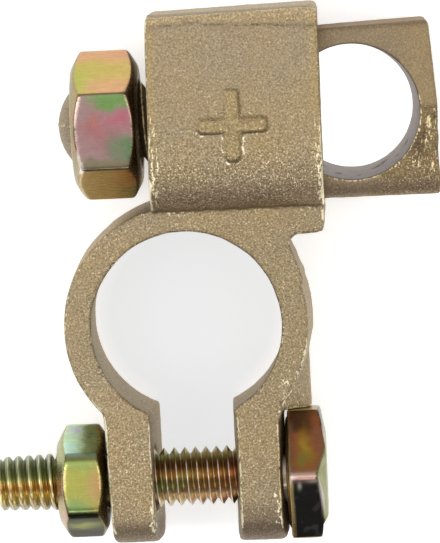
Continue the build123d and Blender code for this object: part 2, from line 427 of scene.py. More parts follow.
def cast_brass(name, seed, rubbed_and_highlit=(0.95, 0.86, 0.60)):
    """Blasted sand-cast brass: a dull grey-gold ground with bright grains painted in as glints."""
    n = Nodes(name)
    move = n.new("ShaderNodeVectorMath", operation="ADD")
    n.plug(n.place, move.inputs[0])
    move.inputs[1].default_value = (seed * 3.1, seed * 1.7, seed * 2.3)
    p = move.outputs[0]
    speck, wear_and_highlight, hollow_shade, smooth = (n.attr(a) for a in ("speck", "wear_and_highlight", "hollow_shade", "smooth"))

    blotch = n.noise(0.9, 3, 0.6, p)
    fine = n.noise(5.2, 2, 0.65, p)
    grit = n.noise(7.2, 1, 0.5, p)
    far = n.new("ShaderNodeVectorMath", operation="ADD")
    n.plug(p, far.inputs[0])
    far.inputs[1].default_value = (31.7, 12.9, 45.3)
    other = n.noise(6.0, 1, 0.5, far.outputs[0])
    long = n.noise(1.0, 2, 0.6, n.stretched(5.6, 2.2, 3.0, (seed, seed, 0)))

    # the ground, with a fine light and dark grain that is keener where it is coarse
    ground = n.tint("ground")
    keen = n.ramp(smooth, 0.0, 1.0, 1.0, 0.42)
    harsh = n.math("MULTIPLY", keen, n.ramp(speck, 0.3, 1.0, 0.50, 0.80))
    ground = n.mix(n.math("MULTIPLY", n.ramp(fine, 0.55, 0.34), harsh), ground, n.scaled(ground, 0.44))
    ground = n.mix(n.math("MULTIPLY", n.ramp(fine, 0.50, 0.70), harsh), ground, n.scaled(ground, 1.70))
    ground = n.mix(n.ramp(blotch, 0.35, 0.65, 0.0, 0.16), ground, n.scaled(ground, 1.20))
    # painted glints: grains painted bright as if they catch the light, and dark ones between them
    lo = n.math("MULTIPLY_ADD", speck, -0.12, 0.722)
    bright = n.ramp(grit, lo, n.math("ADD", lo, 0.08))
    colour = n.mix(n.math("MULTIPLY", bright, n.ramp(speck, 0.0, 1.0, 0.42, 0.92)), ground, (0.96, 0.84, 0.58))
    dark = n.ramp(other, n.math("MULTIPLY_ADD", speck, 0.07, 0.26), n.math("MULTIPLY_ADD", speck, 0.07, 0.36), 0.30, 0.0)
    colour = n.mix(n.math("MULTIPLY", dark, keen), colour, n.scaled(ground, 0.38))
    # edges painted bright in crumbs, partly rubbed wear and partly painted highlight; corners and creases darkened
    # with painted shade
    crumb = n.math("MULTIPLY_ADD", fine, 0.35, n.math("MULTIPLY", long, 0.65))
    crumb = n.math("MULTIPLY_ADD", wear_and_highlight, 0.48, crumb)
    rub_and_highlight = n.ramp(crumb, 0.70, 0.80)
    colour = n.mix(rub_and_highlight, colour, rubbed_and_highlit)
    colour = n.mix(n.ramp(hollow_shade, 0.0, 1.0, 0.0, 0.88), colour, n.scaled(ground, 0.16))
    rough = n.ramp(grit, 0.40, 0.75, 0.60, 0.42)
    rough = n.math("MULTIPLY_ADD", rub_and_highlight, -0.12, rough, clamp=True)
    rough = n.math("MULTIPLY_ADD", n.attr("dull"), 0.5, rough, clamp=True)
    h = n.math("MULTIPLY_ADD", fine, 0.55, n.math("MULTIPLY", grit, 0.45))
    h = n.math("MULTIPLY", h, n.ramp(smooth, 0.0, 1.0, 1.0, 0.25))
    normal = n.bump(h, 0.85, 0.00013)
    return n.set(Base_Color=colour, Metallic=0.82, Roughness=rough, Normal=normal)


def plated(name, seed, rough=0.26, grain=0.35):
    """Zinc plate under a yellow passivation; its colours are laid on the mesh, and with them painted reflections,
    highlights and shade, face by face.
    """
    n = Nodes(name)
    move = n.new("ShaderNodeVectorMath", operation="ADD")
    n.plug(n.place, move.inputs[0])
    move.inputs[1].default_value = (seed * 2.7, seed * 1.3, seed * 3.9)
    p = move.outputs[0]
    colour = n.tint("laid_colours")
    streak = n.noise(1.0, 3, 0.6, n.stretched(0.5, 5.0, 5.0, (seed, 0, 0)))
    fine = n.noise(8.0, 2, 0.5, p)
    soft = n.noise(1.6, 2, 0.5, p)
    colour = n.mix(n.ramp(streak, 0.30, 0.75, 0.0, 0.14), colour, n.scaled(colour, 0.62))
    colour = n.mix(n.ramp(soft, 0.40, 0.70, 0.0, 0.20), colour, n.scaled(colour, 1.35))
    speckle = n.ramp(fine, 0.70, 0.80, 0.0, grain)
    colour = n.mix(speckle, colour, (0.86, 0.80, 0.66))
    # bright where edges are worn, and where highlights are painted
    wear_and_highlight = n.attr("wear_and_highlight")
    colour = n.mix(n.math("MULTIPLY", wear_and_highlight, 0.85, clamp=True), colour, (1.0, 0.90, 0.86))
    # painted shade: dark in thread roots, bores and shaded corners
    hollow_shade = n.attr("hollow_shade")
    colour = n.mix(n.math("MULTIPLY", hollow_shade, 0.85, clamp=True), colour, (0.06, 0.040, 0.020))
    r = n.ramp(streak, 0.2, 0.8, rough - 0.05, rough + 0.10)
    h = n.math("MULTIPLY_ADD", streak, 0.7, n.math("MULTIPLY", fine, 0.3))
    normal = n.bump(h, 0.22, 0.00003)
    metal = n.math("MULTIPLY", n.ramp(wear_and_highlight, 0.10, 0.75, 1.0, 0.45), n.ramp(hollow_shade, 0.45, 1.0, 1.0, 0.15))
    return n.set(Base_Color=colour, Metallic=metal, Roughness=r, Normal=normal)


# ------------------------------------------------------------------ the plating's colours, with painted reflections, highlights and shade
def srgb(r, g, b, gain=1.0):
    """A display colour (0 to 255) as a linear one."""
    c = np.array([r, g, b]) / 255
    return np.where(c <= 0.04045, c / 12.92, ((c + 0.055) / 1.055) ** 2.4) * gain


class Film:
    """Colours at the vertices, laid over one another one soft patch at a time."""

    def __init__(self, count, colour):
        self.rgb = np.tile(np.asarray(colour, float), (count, 1))

    def lay(self, weight, colour):
        w = np.clip(np.broadcast_to(weight, len(self.rgb)), 0, 1)[:, None]
        self.rgb += w * (np.asarray(colour, float) - self.rgb)


class Hexagon:
    """Where a point lies on the faces of a hexagon about a line along X."""

    def __init__(self, co, nrm, y, z, x0, x1):
        self.y, self.z = co[:, 1] - y, co[:, 2] - z
        self.ny, self.nz = nrm[:, 1], nrm[:, 2]
        self.u = (co[:, 0] - x0) / (x1 - x0)
        self.nx = nrm[:, 0]

    def facing(self, angle, lo=0.90, hi=0.98):
        a = math.radians(angle)
        return step(lo, hi, self.ny * math.cos(a) + self.nz * math.sin(a))

    def side(self, angle):
        """As facing, but the chamfers beside the face count too."""
        a = math.radians(angle)
        r = np.hypot(self.ny, self.nz) + 1e-6
        return step(0.86, 0.90, (self.ny * math.cos(a) + self.nz * math.sin(a)) / r)

    def across(self, angle):
        """Millimetres across the face, rising as the angle does."""
        a = math.radians(angle)
        return -self.y * math.sin(a) + self.z * math.cos(a)


def cloud(co, seed, size, lean=(1, 1, 1)):
    return 0.5 + 1.1 * Grain(seed)(co / (size * np.asarray(lean, float)))


def drift_of(co, seed):
    """Two slow wanderings that keep the patches from having ruled edges."""
    return (
        0.95 * Grain(seed)(co / 1.7) + 0.45 * Grain(seed + 1)(co / 0.7),
        0.22 * Grain(seed + 2)(co / 1.7) + 0.10 * Grain(seed + 3)(co / 0.7),
    )


def large_nut_tints_and_painted_light(co, nrm, bend):
    h = Hexagon(co, nrm, STUD_Y, STUD_Z, -9.90, -3.55)
    ds, du = drift_of(co, 171)
    f = Film(len(co), (0.46, 0.36, 0.18))
    f.lay(cloud(co, 72, 2.4), (0.44, 0.30, 0.24))
    f.lay(step(0.55, 0.80, cloud(co, 73, 2.0)), (0.30, 0.38, 0.18))
    # the face towards the far side: salmon, yellow, salmon
    a = 32.6
    s, u = h.across(a) + 0.8 * ds, h.u + du
    on = h.facing(a)
    f.lay(on, srgb(208, 180, 106, 0.80))
    f.lay(on * step(-1.0, -2.6, s), srgb(220, 168, 128, 0.80))
    f.lay(0.8 * on * bell(s, -0.3, 1.2) * step(0.85, 0.30, u), srgb(198, 184, 96, 0.80))
    f.lay(0.9 * on * step(0.7, 1.9, s) * step(0.05, 0.40, u), srgb(222, 172, 126, 0.80))
    f.lay(0.9 * on * step(0.46, 0.08, u) * step(-1.4, 0.8, s), srgb(186, 190, 92, 0.80))
    # the face turned up: mauve, a rose patch, green along one edge and one corner
    a = 92.6
    s, u = h.across(a) + ds, h.u + du
    on = h.facing(a)
    f.lay(on, srgb(160, 134, 130, 0.95))
    f.lay(0.85 * on * bell(np.hypot((u - 0.46) / 0.27, (s + 0.1) / 2.0), 0, 1), srgb(168, 110, 114, 0.95))
    f.lay(0.5 * on * bell(np.hypot((u - 0.40) / 0.10, (s + 0.9) / 0.8), 0, 1), srgb(186, 118, 98, 0.95))
    f.lay(0.85 * on * bell(np.hypot((u - 0.80) / 0.15, (s + 1.3) / 0.9), 0, 1), srgb(184, 100, 118, 0.95))
    f.lay(0.9 * on * step(-1.9, -2.7, s) * step(0.16, 0.46, u), srgb(112, 152, 84, 0.95))
    f.lay(0.9 * on * step(0.52, 0.86, u) * step(-0.1, 1.1, s) * step(3.1, 2.4, s), srgb(96, 130, 88, 0.95))
    f.lay(0.6 * on * bell(np.hypot((u - 0.58) / 0.13, (s - 1.6) / 1.0), 0, 1), srgb(116, 122, 100, 0.95))
    f.lay(0.8 * on * step(2.4, 3.0, s), srgb(130, 124, 94, 0.9))
    # the face towards the ring: bronze
    a = 152.6
    s, u = h.across(a) + ds, h.u + du
    on = h.facing(a)
    f.lay(on, (0.60, 0.47, 0.22))
    f.lay(0.9 * on * step(0.45, 0.85, u) * step(1.0, -1.5, s), (0.74, 0.42, 0.17))
    f.lay(0.9 * on * step(0.66, 0.95, u) * step(0.2, 2.2, s), (0.38, 0.45, 0.27))
    # chamfers: olive and rose to the left; towards the sleeve painted dark brown as shade
    left = step(-0.25, -0.50, h.nx) * step(0.5, 0.2, h.u)
    f.lay(left, srgb(184, 164, 108, 0.70))
    f.lay(left * cloud(co, 74, 1.5), srgb(186, 150, 124, 0.70))
    f.lay(0.6 * left * step(0.55, 0.90, cloud(co, 75, 1.9)), srgb(150, 164, 112, 0.70))
    right = step(0.20, 0.45, h.nx) * step(0.5, 0.8, h.u)
    f.lay(right, (0.10, 0.060, 0.028))
    # painted reflection: a pale silver rim at the end towards the sleeve
    rim = step(0.955, 0.985, h.u)
    f.lay(rim * (0.30 + 0.70 * step(-1.0, 1.0, h.across(92.6))), (0.90, 0.86, 0.84))
    # painted shade: a dark line along the edge towards the ring, and the edges near the sleeve darkened against their
    # highlight
    f.lay(0.75 * bell(h.across(92.6), 3.50, 0.14) * (h.nz > 0.3) * step(0.10, 0.18, h.u) * (h.u < 0.9), (0.10, 0.075, 0.045))
    f.lay(0.70 * step(0.018, 0.045, bend) * bell(h.u, 0.83, 0.08) * (h.nz > 0.5), (0.20, 0.17, 0.11))
    # edge wear, and a painted highlight along the turned-up face's left edge: cream towards the ring, darkened above
    wear_and_highlight = step(0.13, 0.34, bend) * (0.15 + 0.65 * step(-0.1, 0.25, Grain(43)(co / 1.3)))
    wear_and_highlight *= np.where(h.u < 0.5, 0.45, 0.10)
    across = h.across(92.6)
    wear_and_highlight *= 1 - 0.8 * (h.u < 0.3) * (h.nz > 0.4) * step(1.4, 0.4, across)
    low = step(1.2, 2.6, across)
    edge = (h.nz > 0.4) * step(-3.3, -2.4, across) * step(4.1, 3.6, across)
    ridge = step(0.030 - 0.006 * low, 0.060 - 0.010 * low, bend) * bell(h.u, 0.11, 0.06) * (h.nz > 0.4)
    f.lay(0.7 * edge * step(0.018, 0.045, bend) * bell(h.u, 0.11, 0.07) * step(1.4, 0.4, across), (0.33, 0.25, 0.20))
    f.lay(0.8 * edge * ridge * low, (0.96, 0.84, 0.66))
    wear_and_highlight = np.maximum(wear_and_highlight, ridge * (0.24 + 0.76 * step(1.0, 2.6, across)) * step(-3.3, -2.4, across) * step(4.1, 3.6, across))
    return f.rgb, wear_and_highlight


def small_nut_tints_and_painted_light(co, nrm, bend):
    h = Hexagon(co, nrm, BOLT_Y, BOLT_Z, -13.08, -8.42)
    ds, du = drift_of(co, 181)
    f = Film(len(co), (0.38, 0.37, 0.15))
    f.lay(cloud(co, 82, 2.2), (0.40, 0.31, 0.18))
    f.lay(step(0.55, 0.80, cloud(co, 83, 1.8)), (0.24, 0.35, 0.22))
    a = 27.1
    s, u = h.across(a) + 0.6 * ds, h.u + 0.7 * du
    on = h.facing(a, 0.82, 0.95)
    f.lay(on, (0.46, 0.64, 0.42))
    f.lay(0.9 * on * step(-0.2, 1.2, s) * step(0.7, 0.3, u), (0.46, 0.68, 0.56))
    f.lay(0.9 * on * bell(np.hypot((u - 0.42) / 0.13, (s + 1.4) / 0.6), 0, 1), (0.50, 0.48, 0.66))
    f.lay(0.9 * on * step(0.30, 0.10, u) * step(0.2, -1.4, s), (0.60, 0.52, 0.27))
    f.lay(on * step(0.50, 0.66, u), (0.26, 0.35, 0.18))
    f.lay(0.7 * on * bell(np.hypot((u - 0.72) / 0.07, (s + 0.6) / 0.6), 0, 1), (0.14, 0.20, 0.16))
    f.lay(on * step(0.82, 0.95, u), (0.36, 0.30, 0.13))
    a = 87.1
    s, u = h.across(a) + 0.8 * ds, h.u + 0.8 * du
    on = h.facing(a, 0.84, 0.96)
    f.lay(on, srgb(182, 180, 94, 0.80))
    f.lay(0.7 * on * step(-0.9, -2.3, s), srgb(156, 178, 106, 0.80))
    f.lay(0.85 * on * bell(u, 0.82, 0.14) * bell(s, 0.0, 1.8), srgb(202, 156, 112, 0.80))
    f.lay(0.8 * on * step(0.5, 2.2, s) * step(0.9, 0.6, u), srgb(138, 172, 112, 0.78))
    f.lay(0.7 * on * step(0.28, 0.12, u), srgb(180, 158, 120, 0.80))
    # the face towards the ring, painted as reflection and shade: nearly black with a paler olive stripe
    a = 147.1
    s, u = h.across(a) + 0.6 * ds, h.u + 0.6 * du
    on = h.facing(a, 0.82, 0.95)
    f.lay(on, (0.024, 0.026, 0.006))
    f.lay(on * bell(s, -0.6, 0.70) * bell(u, 0.50, 0.40), (0.200, 0.205, 0.042))
    f.lay(0.9 * on * step(0.22, 0.05, u), (0.07, 0.05, 0.03))
    # painted shade: a dark line along the edge between the middle face and the face towards the ring
    dark = bell(h.across(87.1), 2.78, 0.20) * (h.nz > 0.3) * step(0.12, 0.22, h.u) * step(0.88, 0.78, h.u)
    f.lay(dark, (0.035, 0.035, 0.02))
    left = step(-0.30, -0.60, h.nx) * step(0.5, 0.2, h.u)
    f.lay(left, srgb(186, 172, 122, 0.80))
    f.lay(0.8 * left * step(0.35, 0.7, cloud(co, 84, 1.6)), srgb(196, 160, 140, 0.80))
    f.lay(0.8 * left * step(-0.5, -1.5, h.across(87.1)), srgb(168, 176, 120, 0.80))
    # painted shade: the chamfer on the side towards the clamp dark brown
    right = step(0.25, 0.55, h.nx) * step(0.5, 0.8, h.u)
    f.lay(right, (0.19, 0.15, 0.06))
    # edge wear, with painted highlights at the lower corners and along the right edge of the middle face
    wear_and_highlight = step(0.10, 0.26, bend) * (0.05 + 0.35 * step(-0.05, 0.25, Grain(44)(co / 1.2)))
    low = bell(h.across(87.1), 2.6, 0.6) * (h.nz > 0.2)
    wear_and_highlight = np.maximum(wear_and_highlight, step(0.05, 0.18, bend) * low * (bell(h.u, 0.13, 0.10) + 0.8 * bell(h.u, 0.86, 0.08)))
    wear_and_highlight = np.maximum(wear_and_highlight, 0.6 * step(0.05, 0.18, bend) * bell(h.u, 0.87, 0.06) * step(-0.6, 1.2, h.across(87.1)) * (h.nz > 0.5))
    return f.rgb, wear_and_highlight


def bolt_tints_and_painted_light(co, nrm, bend):
    x, y, z = co.T
    h = Hexagon(co, nrm, BOLT_Y, BOLT_Z, 9.02, 12.60)
    ds, du = drift_of(co, 191)
    f = Film(len(co), (0.52, 0.35, 0.15))
    f.lay(cloud(co, 92, 1.3, (1.6, 1, 1)), (0.56, 0.43, 0.19))
    # the shank: green to the left and rust to the right; by the angle around it, painted reflections: greener towards
    # +Y, a dark band, dimmed on top against the overhead highlight, and a cream highlight below
    t = np.degrees(np.arctan2(z - BOLT_Z, y - BOLT_Y))
    shank = x < 8.6
    c = cloud(co, 93, 2.2, (1.3, 1, 1))
    f.lay(shank, (0.47, 0.31, 0.135))
    f.lay(0.9 * shank * step(0.30, 0.75, c) * step(0.8, -2.2, x), (0.38, 0.42, 0.19))
    f.lay(0.9 * shank * step(0.6, 0.2, c) * step(0.0, 4.0, x), (0.50, 0.24, 0.13))
    f.lay(0.6 * shank * step(52, 38, t) * (t > -60), (0.46, 0.44, 0.24))
    f.lay(0.6 * shank * bell(t, 56, 7) * (x > -13), (0.22, 0.11, 0.07))
    f.rgb *= (1 + shank * (0.12 * bell(t, 70, 8) - 0.30 * bell(t, 90, 9)))[:, None]
    f.lay(0.80 * shank * bell(t, 127, 12), (1.0, 0.80, 0.54))
    # the worn end, painted by the angle around it as reflections: green above, a golden highlight below, greyer at the
    # bottom
    left = shank * step(-13.0, -13.6, x)
    f.lay(left, (0.47, 0.31, 0.115))
    f.lay(0.95 * left * step(108, 66, t), (0.30, 0.35, 0.13))
    f.lay(0.9 * left * step(60, 38, t), (0.24, 0.27, 0.17))
    f.lay(0.75 * left * bell(t, 93, 13), (0.52, 0.28, 0.075))
    f.lay(left * bell(t, 117, 14), (1.0, 0.80, 0.31))
    f.lay(left * step(126, 142, t), (0.34, 0.31, 0.19))
    f.lay(x < -18.70, (0.40, 0.37, 0.20))            # the flat end
    # the boss under the head lies in the shade
    f.lay((x > 8.66) * step(9.10, 9.03, x), (0.055, 0.038, 0.026))
    # the head
    head = step(8.6, 8.9, x)
    hex_up, hex_low = 55.5, 115.5
    f.lay(head, (0.48, 0.34, 0.14))
    f.lay(head * cloud(co, 94, 2.0), (0.40, 0.35, 0.15))
    s, u = h.across(hex_up) + 0.8 * ds, h.u + du
    on = head * h.facing(hex_up, 0.90, 0.985)
    f.lay(on, (0.48, 0.165, 0.064))
    f.lay(0.9 * on * step(-0.3, -1.8, s) * step(0.85, 0.50, u), (0.085, 0.042, 0.022))
    f.lay(0.7 * on * step(0.55, 0.9, u) * step(-2.5, -1.0, s), (0.46, 0.20, 0.115))
    f.lay(on * bell(np.hypot((u - 0.48) / 0.16, (s - 0.4) / 1.8), 0, 1), (0.66, 0.40, 0.055))
    f.lay(0.9 * on * bell(np.hypot((u - 0.38) / 0.16, (s - 1.7) / 0.9), 0, 1), (0.37, 0.33, 0.07))
    f.lay(0.7 * on * step(0.2, 0.05, u), (0.30, 0.17, 0.12))
    # painted reflection: the lower flat nearly black, with pale painted highlights
    s, u = h.across(hex_low) + 0.3 * ds, h.u + 0.5 * du
    on = head * h.facing(hex_low, 0.90, 0.97)
    f.lay(on, (0.032, 0.031, 0.029))
    f.lay(0.5 * on * step(0.66, 0.85, cloud(co, 95, 0.9)), (0.11, 0.11, 0.10))
    s = h.across(hex_low)
    f.lay(0.9 * on * bell(np.hypot((h.u - 0.27) / 0.045, (s + 2.55) / 0.42), 0, 1), (0.80, 0.78, 0.62))
    f.lay(0.6 * on * bell(np.hypot((h.u - 0.62) / 0.16, (s + 3.0) / 0.22), 0, 1), (0.70, 0.66, 0.56))
    # a strip of gold beside the bearing face of the lower flat; the chamfer painted dark as shade, and pale in places
    gold = head * step(0.125, 0.085, h.u + 0.05 * du) * (z > BOLT_Z) * step(0.5, -0.2, y - BOLT_Y)
    f.lay(gold, (0.66, 0.50, 0.22))
    f.lay(0.7 * gold * step(-17.5, -20.0, y), (0.26, 0.17, 0.09))
    cham = head * step(0.22, 0.45, h.nx)
    f.lay(cham, (0.048, 0.038, 0.028))
    cham = cham * np.maximum(step(-19.4, -18.9, y) * step(-10.5, -11.0, y), step(8.0, 6.0, z))
    f.lay(cham, (0.270, 0.275, 0.135))
    f.lay(0.7 * cham * step(0.5, 0.8, cloud(co, 96, 1.6)), (0.35, 0.33, 0.21))
    # a painted highlight: a rose band with a cream line along the head's topmost corner
    ridge = head * bell(h.across(85.5), 0.0, 0.42) * (h.nz > 0.8) * (z > BOLT_Z) * step(0.35, 0.2, h.nx)
    f.lay(ridge, (0.70, 0.41, 0.36))
    f.lay(ridge * bell(h.across(85.5), -0.30, 0.13), (0.95, 0.80, 0.58))
    # edge wear, with painted highlights along the edges of the lower flat
    wear_and_highlight = step(0.13, 0.34, bend) * (0.10 + 0.5 * step(-0.1, 0.25, Grain(53)(co / 1.3)))
    rim = step(0.018, 0.045, bend) * h.side(hex_low) * step(1.4, -0.6, h.across(hex_low)) * bell(h.u, 0.86, 0.10)
    near = step(0.018, 0.045, bend) * bell(h.across(hex_low), -3.1, 0.6) * bell(h.u, 0.10, 0.10)
    wear_and_highlight = head * np.maximum.reduce([0.7 * wear_and_highlight, 0.8 * rim, 0.9 * near])
    return f.rgb, wear_and_highlight


# ------------------------------------------------------------------ camera
turn = (5.73211607, -1.98312779, 2.52746588)
rx, ry, rz = (math.radians(a) for a in turn)
to_camera = Matrix.Rotation(rz, 3, "Z") @ Matrix.Rotation(ry, 3, "Y") @ Matrix.Rotation(rx, 3, "X")
cam = bpy.data.cameras.new("camera")
cam.sensor_width = 36.0
cam.lens = 3646.8473 / 543 * 36.0
cam.clip_start, cam.clip_end = 0.01, 10.0
camera = link(bpy.data.objects.new("camera", cam))
camera.matrix_world = Matrix.Translation((0.0152626, 0.039222, 0.3525)) @ to_camera.transposed().to_4x4()
scene.camera = camera


# ------------------------------------------------------------------ clamp body
MARK_X, MARK_Y = 5.28, 19.02


def from_mark(x, y):
    """Distance outside the plus mark's outline; below zero inside it."""

    def bar(half_x, half_y, corner=0.50):
        qx = np.abs(x - MARK_X) - (half_x - corner)
        qy = np.abs(y - MARK_Y) - (half_y - corner)
        return np.hypot(np.clip(qx, 0, None), np.clip(qy, 0, None)) + np.minimum(np.maximum(qx, qy), 0) - corner

    return soft_min(bar(3.26, 0.72), bar(0.72, 3.38), 0.45)


def build_clamp():
    voxel = 0.155
    ob = cad_copy("clamp_body", "clamp_body_casting")
    remesh(ob, voxel)
    me = ob.data
    co = get_co(me)
    # the mark is pressed flat here and drawn again below, so that its edge stays crisp
    x, y, z = co.T
    near = (np.abs(x - MARK_X) < 4.4) & (np.abs(y - MARK_Y) < 4.6) & (z > 15.5)
    co[near, 2] = np.minimum(co[near, 2], 16.0)
    set_co(me, co)
    relax(ob, 6)
    co, nrm = get_co(me), get_normals(me)
    bend = curvature(me, voxel, 3)
    outer = step(0.040, 0.072, bend)
    x, y, z = co.T
    up = step(0.55, 0.9, nrm[:, 2])
    big, mid, small = Grain(11), Grain(12), Grain(13)
    lumps = 0.060 * big(co / 4.3) + 0.045 * mid(co / 1.35) + 0.030 * small(co / 0.50)
    edge = step(0.06, 0.26, bend)
    sleeve = step(10.6, 11.4, y) * step(12.4, 13.2, z)
    left_edge = np.interp(y, [11.0, 29.7], [-2.78, -2.36])
    right_edge = np.interp(y, [11.0, 29.7], [13.50, 13.56])
    from_left, from_right = x - left_edge, right_edge - x
    # ragged flash along the sleeve's long edges, worst near the ring
    streak = Grain(61)(np.stack([x / 0.27, y / 1.7, z / 0.8], 1)) + 0.5 * Grain(62)(np.stack([x / 0.20, y / 0.6, z / 0.5], 1))
    band_left = step(1.35, 0.75, from_left) * step(21.5, 17.5, y) * sleeve
    band_right = step(1.05, 0.45, from_right) * step(22.5, 17.0, y) * sleeve
    band = np.maximum(band_left, band_right) * step(0.30, 0.7, nrm[:, 2])
    nicked = 0.5 + 1.2 * np.maximum(band, 0.7 * step(-9.0, -12.0, y))
    lumps -= edge * nicked * 0.10 * np.clip(np.abs(mid(co / 0.9 + 7.0)) + 0.8 * small(co / 0.45), -0.2, 1)
    lumps += band * 0.12 * streak
    # the underside, the bolt's holes and the stud's hole stay true
    true = np.maximum(step(0.5, 0.0, z), step(4.2, 3.3, np.hypot(y + 14.93, z - 7.5)) * (y < -8))
    lumps *= 1 - 0.85 * true
    out = co + nrm * lumps[:, None]

    # a shallow seam across the sleeve's top near its far edge
    wander = Grain(21)(np.stack([x / 1.1, 0 * x, 0 * x], 1))
    seam = np.interp(
        x,
        [-3.0, -1.0, 1.5, 2.6, 3.2, 5.0, 8.0, 11.0, 14.0],
        [28.42, 28.38, 28.55, 28.66, 28.36, 28.25, 28.12, 27.95, 27.80],
    ) + 0.16 * wander + 0.05 * Grain(26)(np.stack([x / 0.5, 0 * x, 0 * x], 1))
    on_top = up * step(15.0, 15.6, z)
    gap = y - seam
    fade = 0.45 + 0.9 * Grain(22)(np.stack([x / 1.3, y / 1.3, 0 * x], 1))
    groove = bell(gap, 0.0, 0.15) * (0.8 + 0.35 * fade)
    lip = step(0.02, 0.25, gap)
    out[:, 2] += on_top * (-0.09 * groove + lip * (0.03 - 0.09 * np.clip(gap / 1.3, 0, 1)))
    out[:, 2] -= on_top * 0.05 * bell(np.hypot(x - 9.9, y - 21.1), 0.0, 0.35)
    # the foot of the sleeve wanders
    at_foot = step(12.2, 12.7, z) * bell(y, 11.1, 0.8) * (z < 14.0)
    ripple = 0.20 * wander + 0.13 * Grain(23)(np.stack([x / 0.45, 0 * x, 0 * x], 1))
    out[:, 1] += at_foot * ripple
    # the ears' ends roll over, and the right one leans back at its upper edges
    start = np.where(x < 0, -17.9, -18.15)
    u = np.clip((start - out[:, 1]) / 2.75, 0, 1)
    v = np.clip((out[:, 2] - 9.2) / 3.3, 0, 1)
    out[:, 1] = np.where(u > 0, start - (start - out[:, 1]) * np.sqrt(1 - v * v / 2), out[:, 1])
    out[:, 2] = np.where(v > 0, 9.2 + (out[:, 2] - 9.2) * np.sqrt(1 - u * u / 2), out[:, 2])
    flare = bell(z, 6.5, 4.0) * step(-18.4, -19.9, y) * step(0.2, 0.7, nrm[:, 0]) * (x < -2)
    out[:, 0] += 0.40 * flare
    out[:, 1] -= 0.052 * np.clip(-18.0 - out[:, 1], 0, None)
    # the ring's draft isn't even: it falls in to the upper left and swells to the right
    rad, ang = np.hypot(x, y), np.degrees(np.arctan2(y, x))
    wall = step(10.3, 10.9, rad) * step(10.2, 9.0, y) * np.clip(1 - z / 12.5, 0, 1)
    swell = -0.16 * step(172, 160, ang) * step(100, 112, ang) - 0.20 * bell(ang, 33.0, 7.0) - 0.30 * bell(ang, 22.5, 4.0)
    swell += 0.14 * step(-12, -4, ang) * step(27, 22, ang)
    out[:, 0] += wall * swell * x / np.maximum(rad, 1)
    out[:, 1] += wall * swell * y / np.maximum(rad, 1)
    out[:, 0] -= 0.30 * step(8.8, 12.5, z) * step(7.2, 8.5, x) * step(-8.6, -9.6, y)
    out[:, 0] += 0.22 * step(8.8, 12.5, z) * step(5.2, 4.1, x) * (x > 1) * step(-8.2, -9.2, y)
    for cx, cy, sx, sy in ((-1.45, 28.75, -1, 1), (12.20, 9.50, 1, -1)):
        vx, vy = (out[:, 0] - cx) * sx, (out[:, 1] - cy) * sy
        at = (vx > 0) & (vy > 0) & (vx < 1.6) & (vy < 1.6)
        more = np.where(at, 0.5 * (np.hypot(vx, vy) / np.maximum(np.maximum(vx, vy), 1e-6) - 1), 0)
        out[:, 0] += sx * vx * more
        out[:, 1] += sy * vy * more
    # the mark
    away = from_mark(x, y) + 0.10 * mid(co / 0.9 + 3.0)
    flat_top = on_top * (np.abs(x - MARK_X) < 5) * (np.abs(y - MARK_Y) < 5)
    low_side = np.clip((from_mark(x, y - 0.05) - from_mark(x, y + 0.05)) / 0.1, 0, 1)
    right_side = np.clip((from_mark(x + 0.05, y) - from_mark(x - 0.05, y)) / 0.1, 0, 1)
    relief = 0.27 - 0.05 * step(0.5, 3.0, y - MARK_Y)
    gentle = 1 - np.clip(np.maximum(low_side, 0.8 * right_side), 0, 1)
    out[:, 2] += flat_top * (relief * step(0.10 + 0.05 * gentle, -0.14 - 0.26 * gentle, away) - 0.05 * low_side * bell(away, 0.22, 0.13))
    set_co(me, out)

    nrm = get_normals(me)
    bend = curvature(me, voxel, 1)
    crease = outer * (0.80 + 0.20 * step(0.06, 0.26, bend))
    # painted shade: dark in creases and corners, along the seam, beside the mark, along the sleeve's foot and in the
    # flash's streaks
    hollow_shade = 0.8 * step(-0.03, -0.20, bend)
    hollow_shade *= 1 - flat_top * 0.8 * step(1.5, 0.5, np.abs(away))
    hollow_shade = np.maximum(hollow_shade, on_top * bell(gap, 0.0, 0.13) * np.clip(0.14 + 0.55 * fade, 0, 0.52))
    shade = 0.66 * low_side + 0.40 * right_side * step(-0.2, 0.6, y - MARK_Y) + 0.22 * right_side
    hollow_shade = np.maximum(hollow_shade, flat_top * bell(away, 0.10, 0.10) * np.clip(shade, 0, 0.85))
    foot = step(12.35, 12.9, z) * bell(y - ripple, 11.0, 0.20) * (z < 14.2)
    hollow_shade = np.maximum(hollow_shade, 0.5 * foot)
    hollow_shade = np.maximum(hollow_shade, 0.45 * band * step(0.10, 0.45, -streak))

    # the share of bright grains, painted as glints, place by place
    speck = 0.50 + 0.0 * x
    speck += 0.10 * (y < 10.5) * step(11.5, 12.2, z)
    speck += 0.38 * sleeve * step(18.5, 14.5, y)
    speck -= 0.12 * on_top * step(18.0, 23.0, y)
    speck += 0.25 * on_top * step(0.1, 0.5, gap)
    speck -= 0.30 * step(-17.6, -19.2, y)
    speck += 0.14 * step(-8.5, -10.0, y) * (x < 0)
    # crumbs painted bright below and beside the mark, partly wear and partly painted highlight
    crumbs = flat_top * bell(away, 0.26, 0.15) * step(0.0, -0.6, y - MARK_Y)
    crumbs *= np.clip(0.55 + 1.3 * Grain(25)(co / 0.55), 0, 1)
    crumbs *= 0.30 + 0.90 * np.maximum(low_side * step(1.2, 2.2, np.abs(x - MARK_X)), step(-0.6, -1.4, y - MARK_Y))
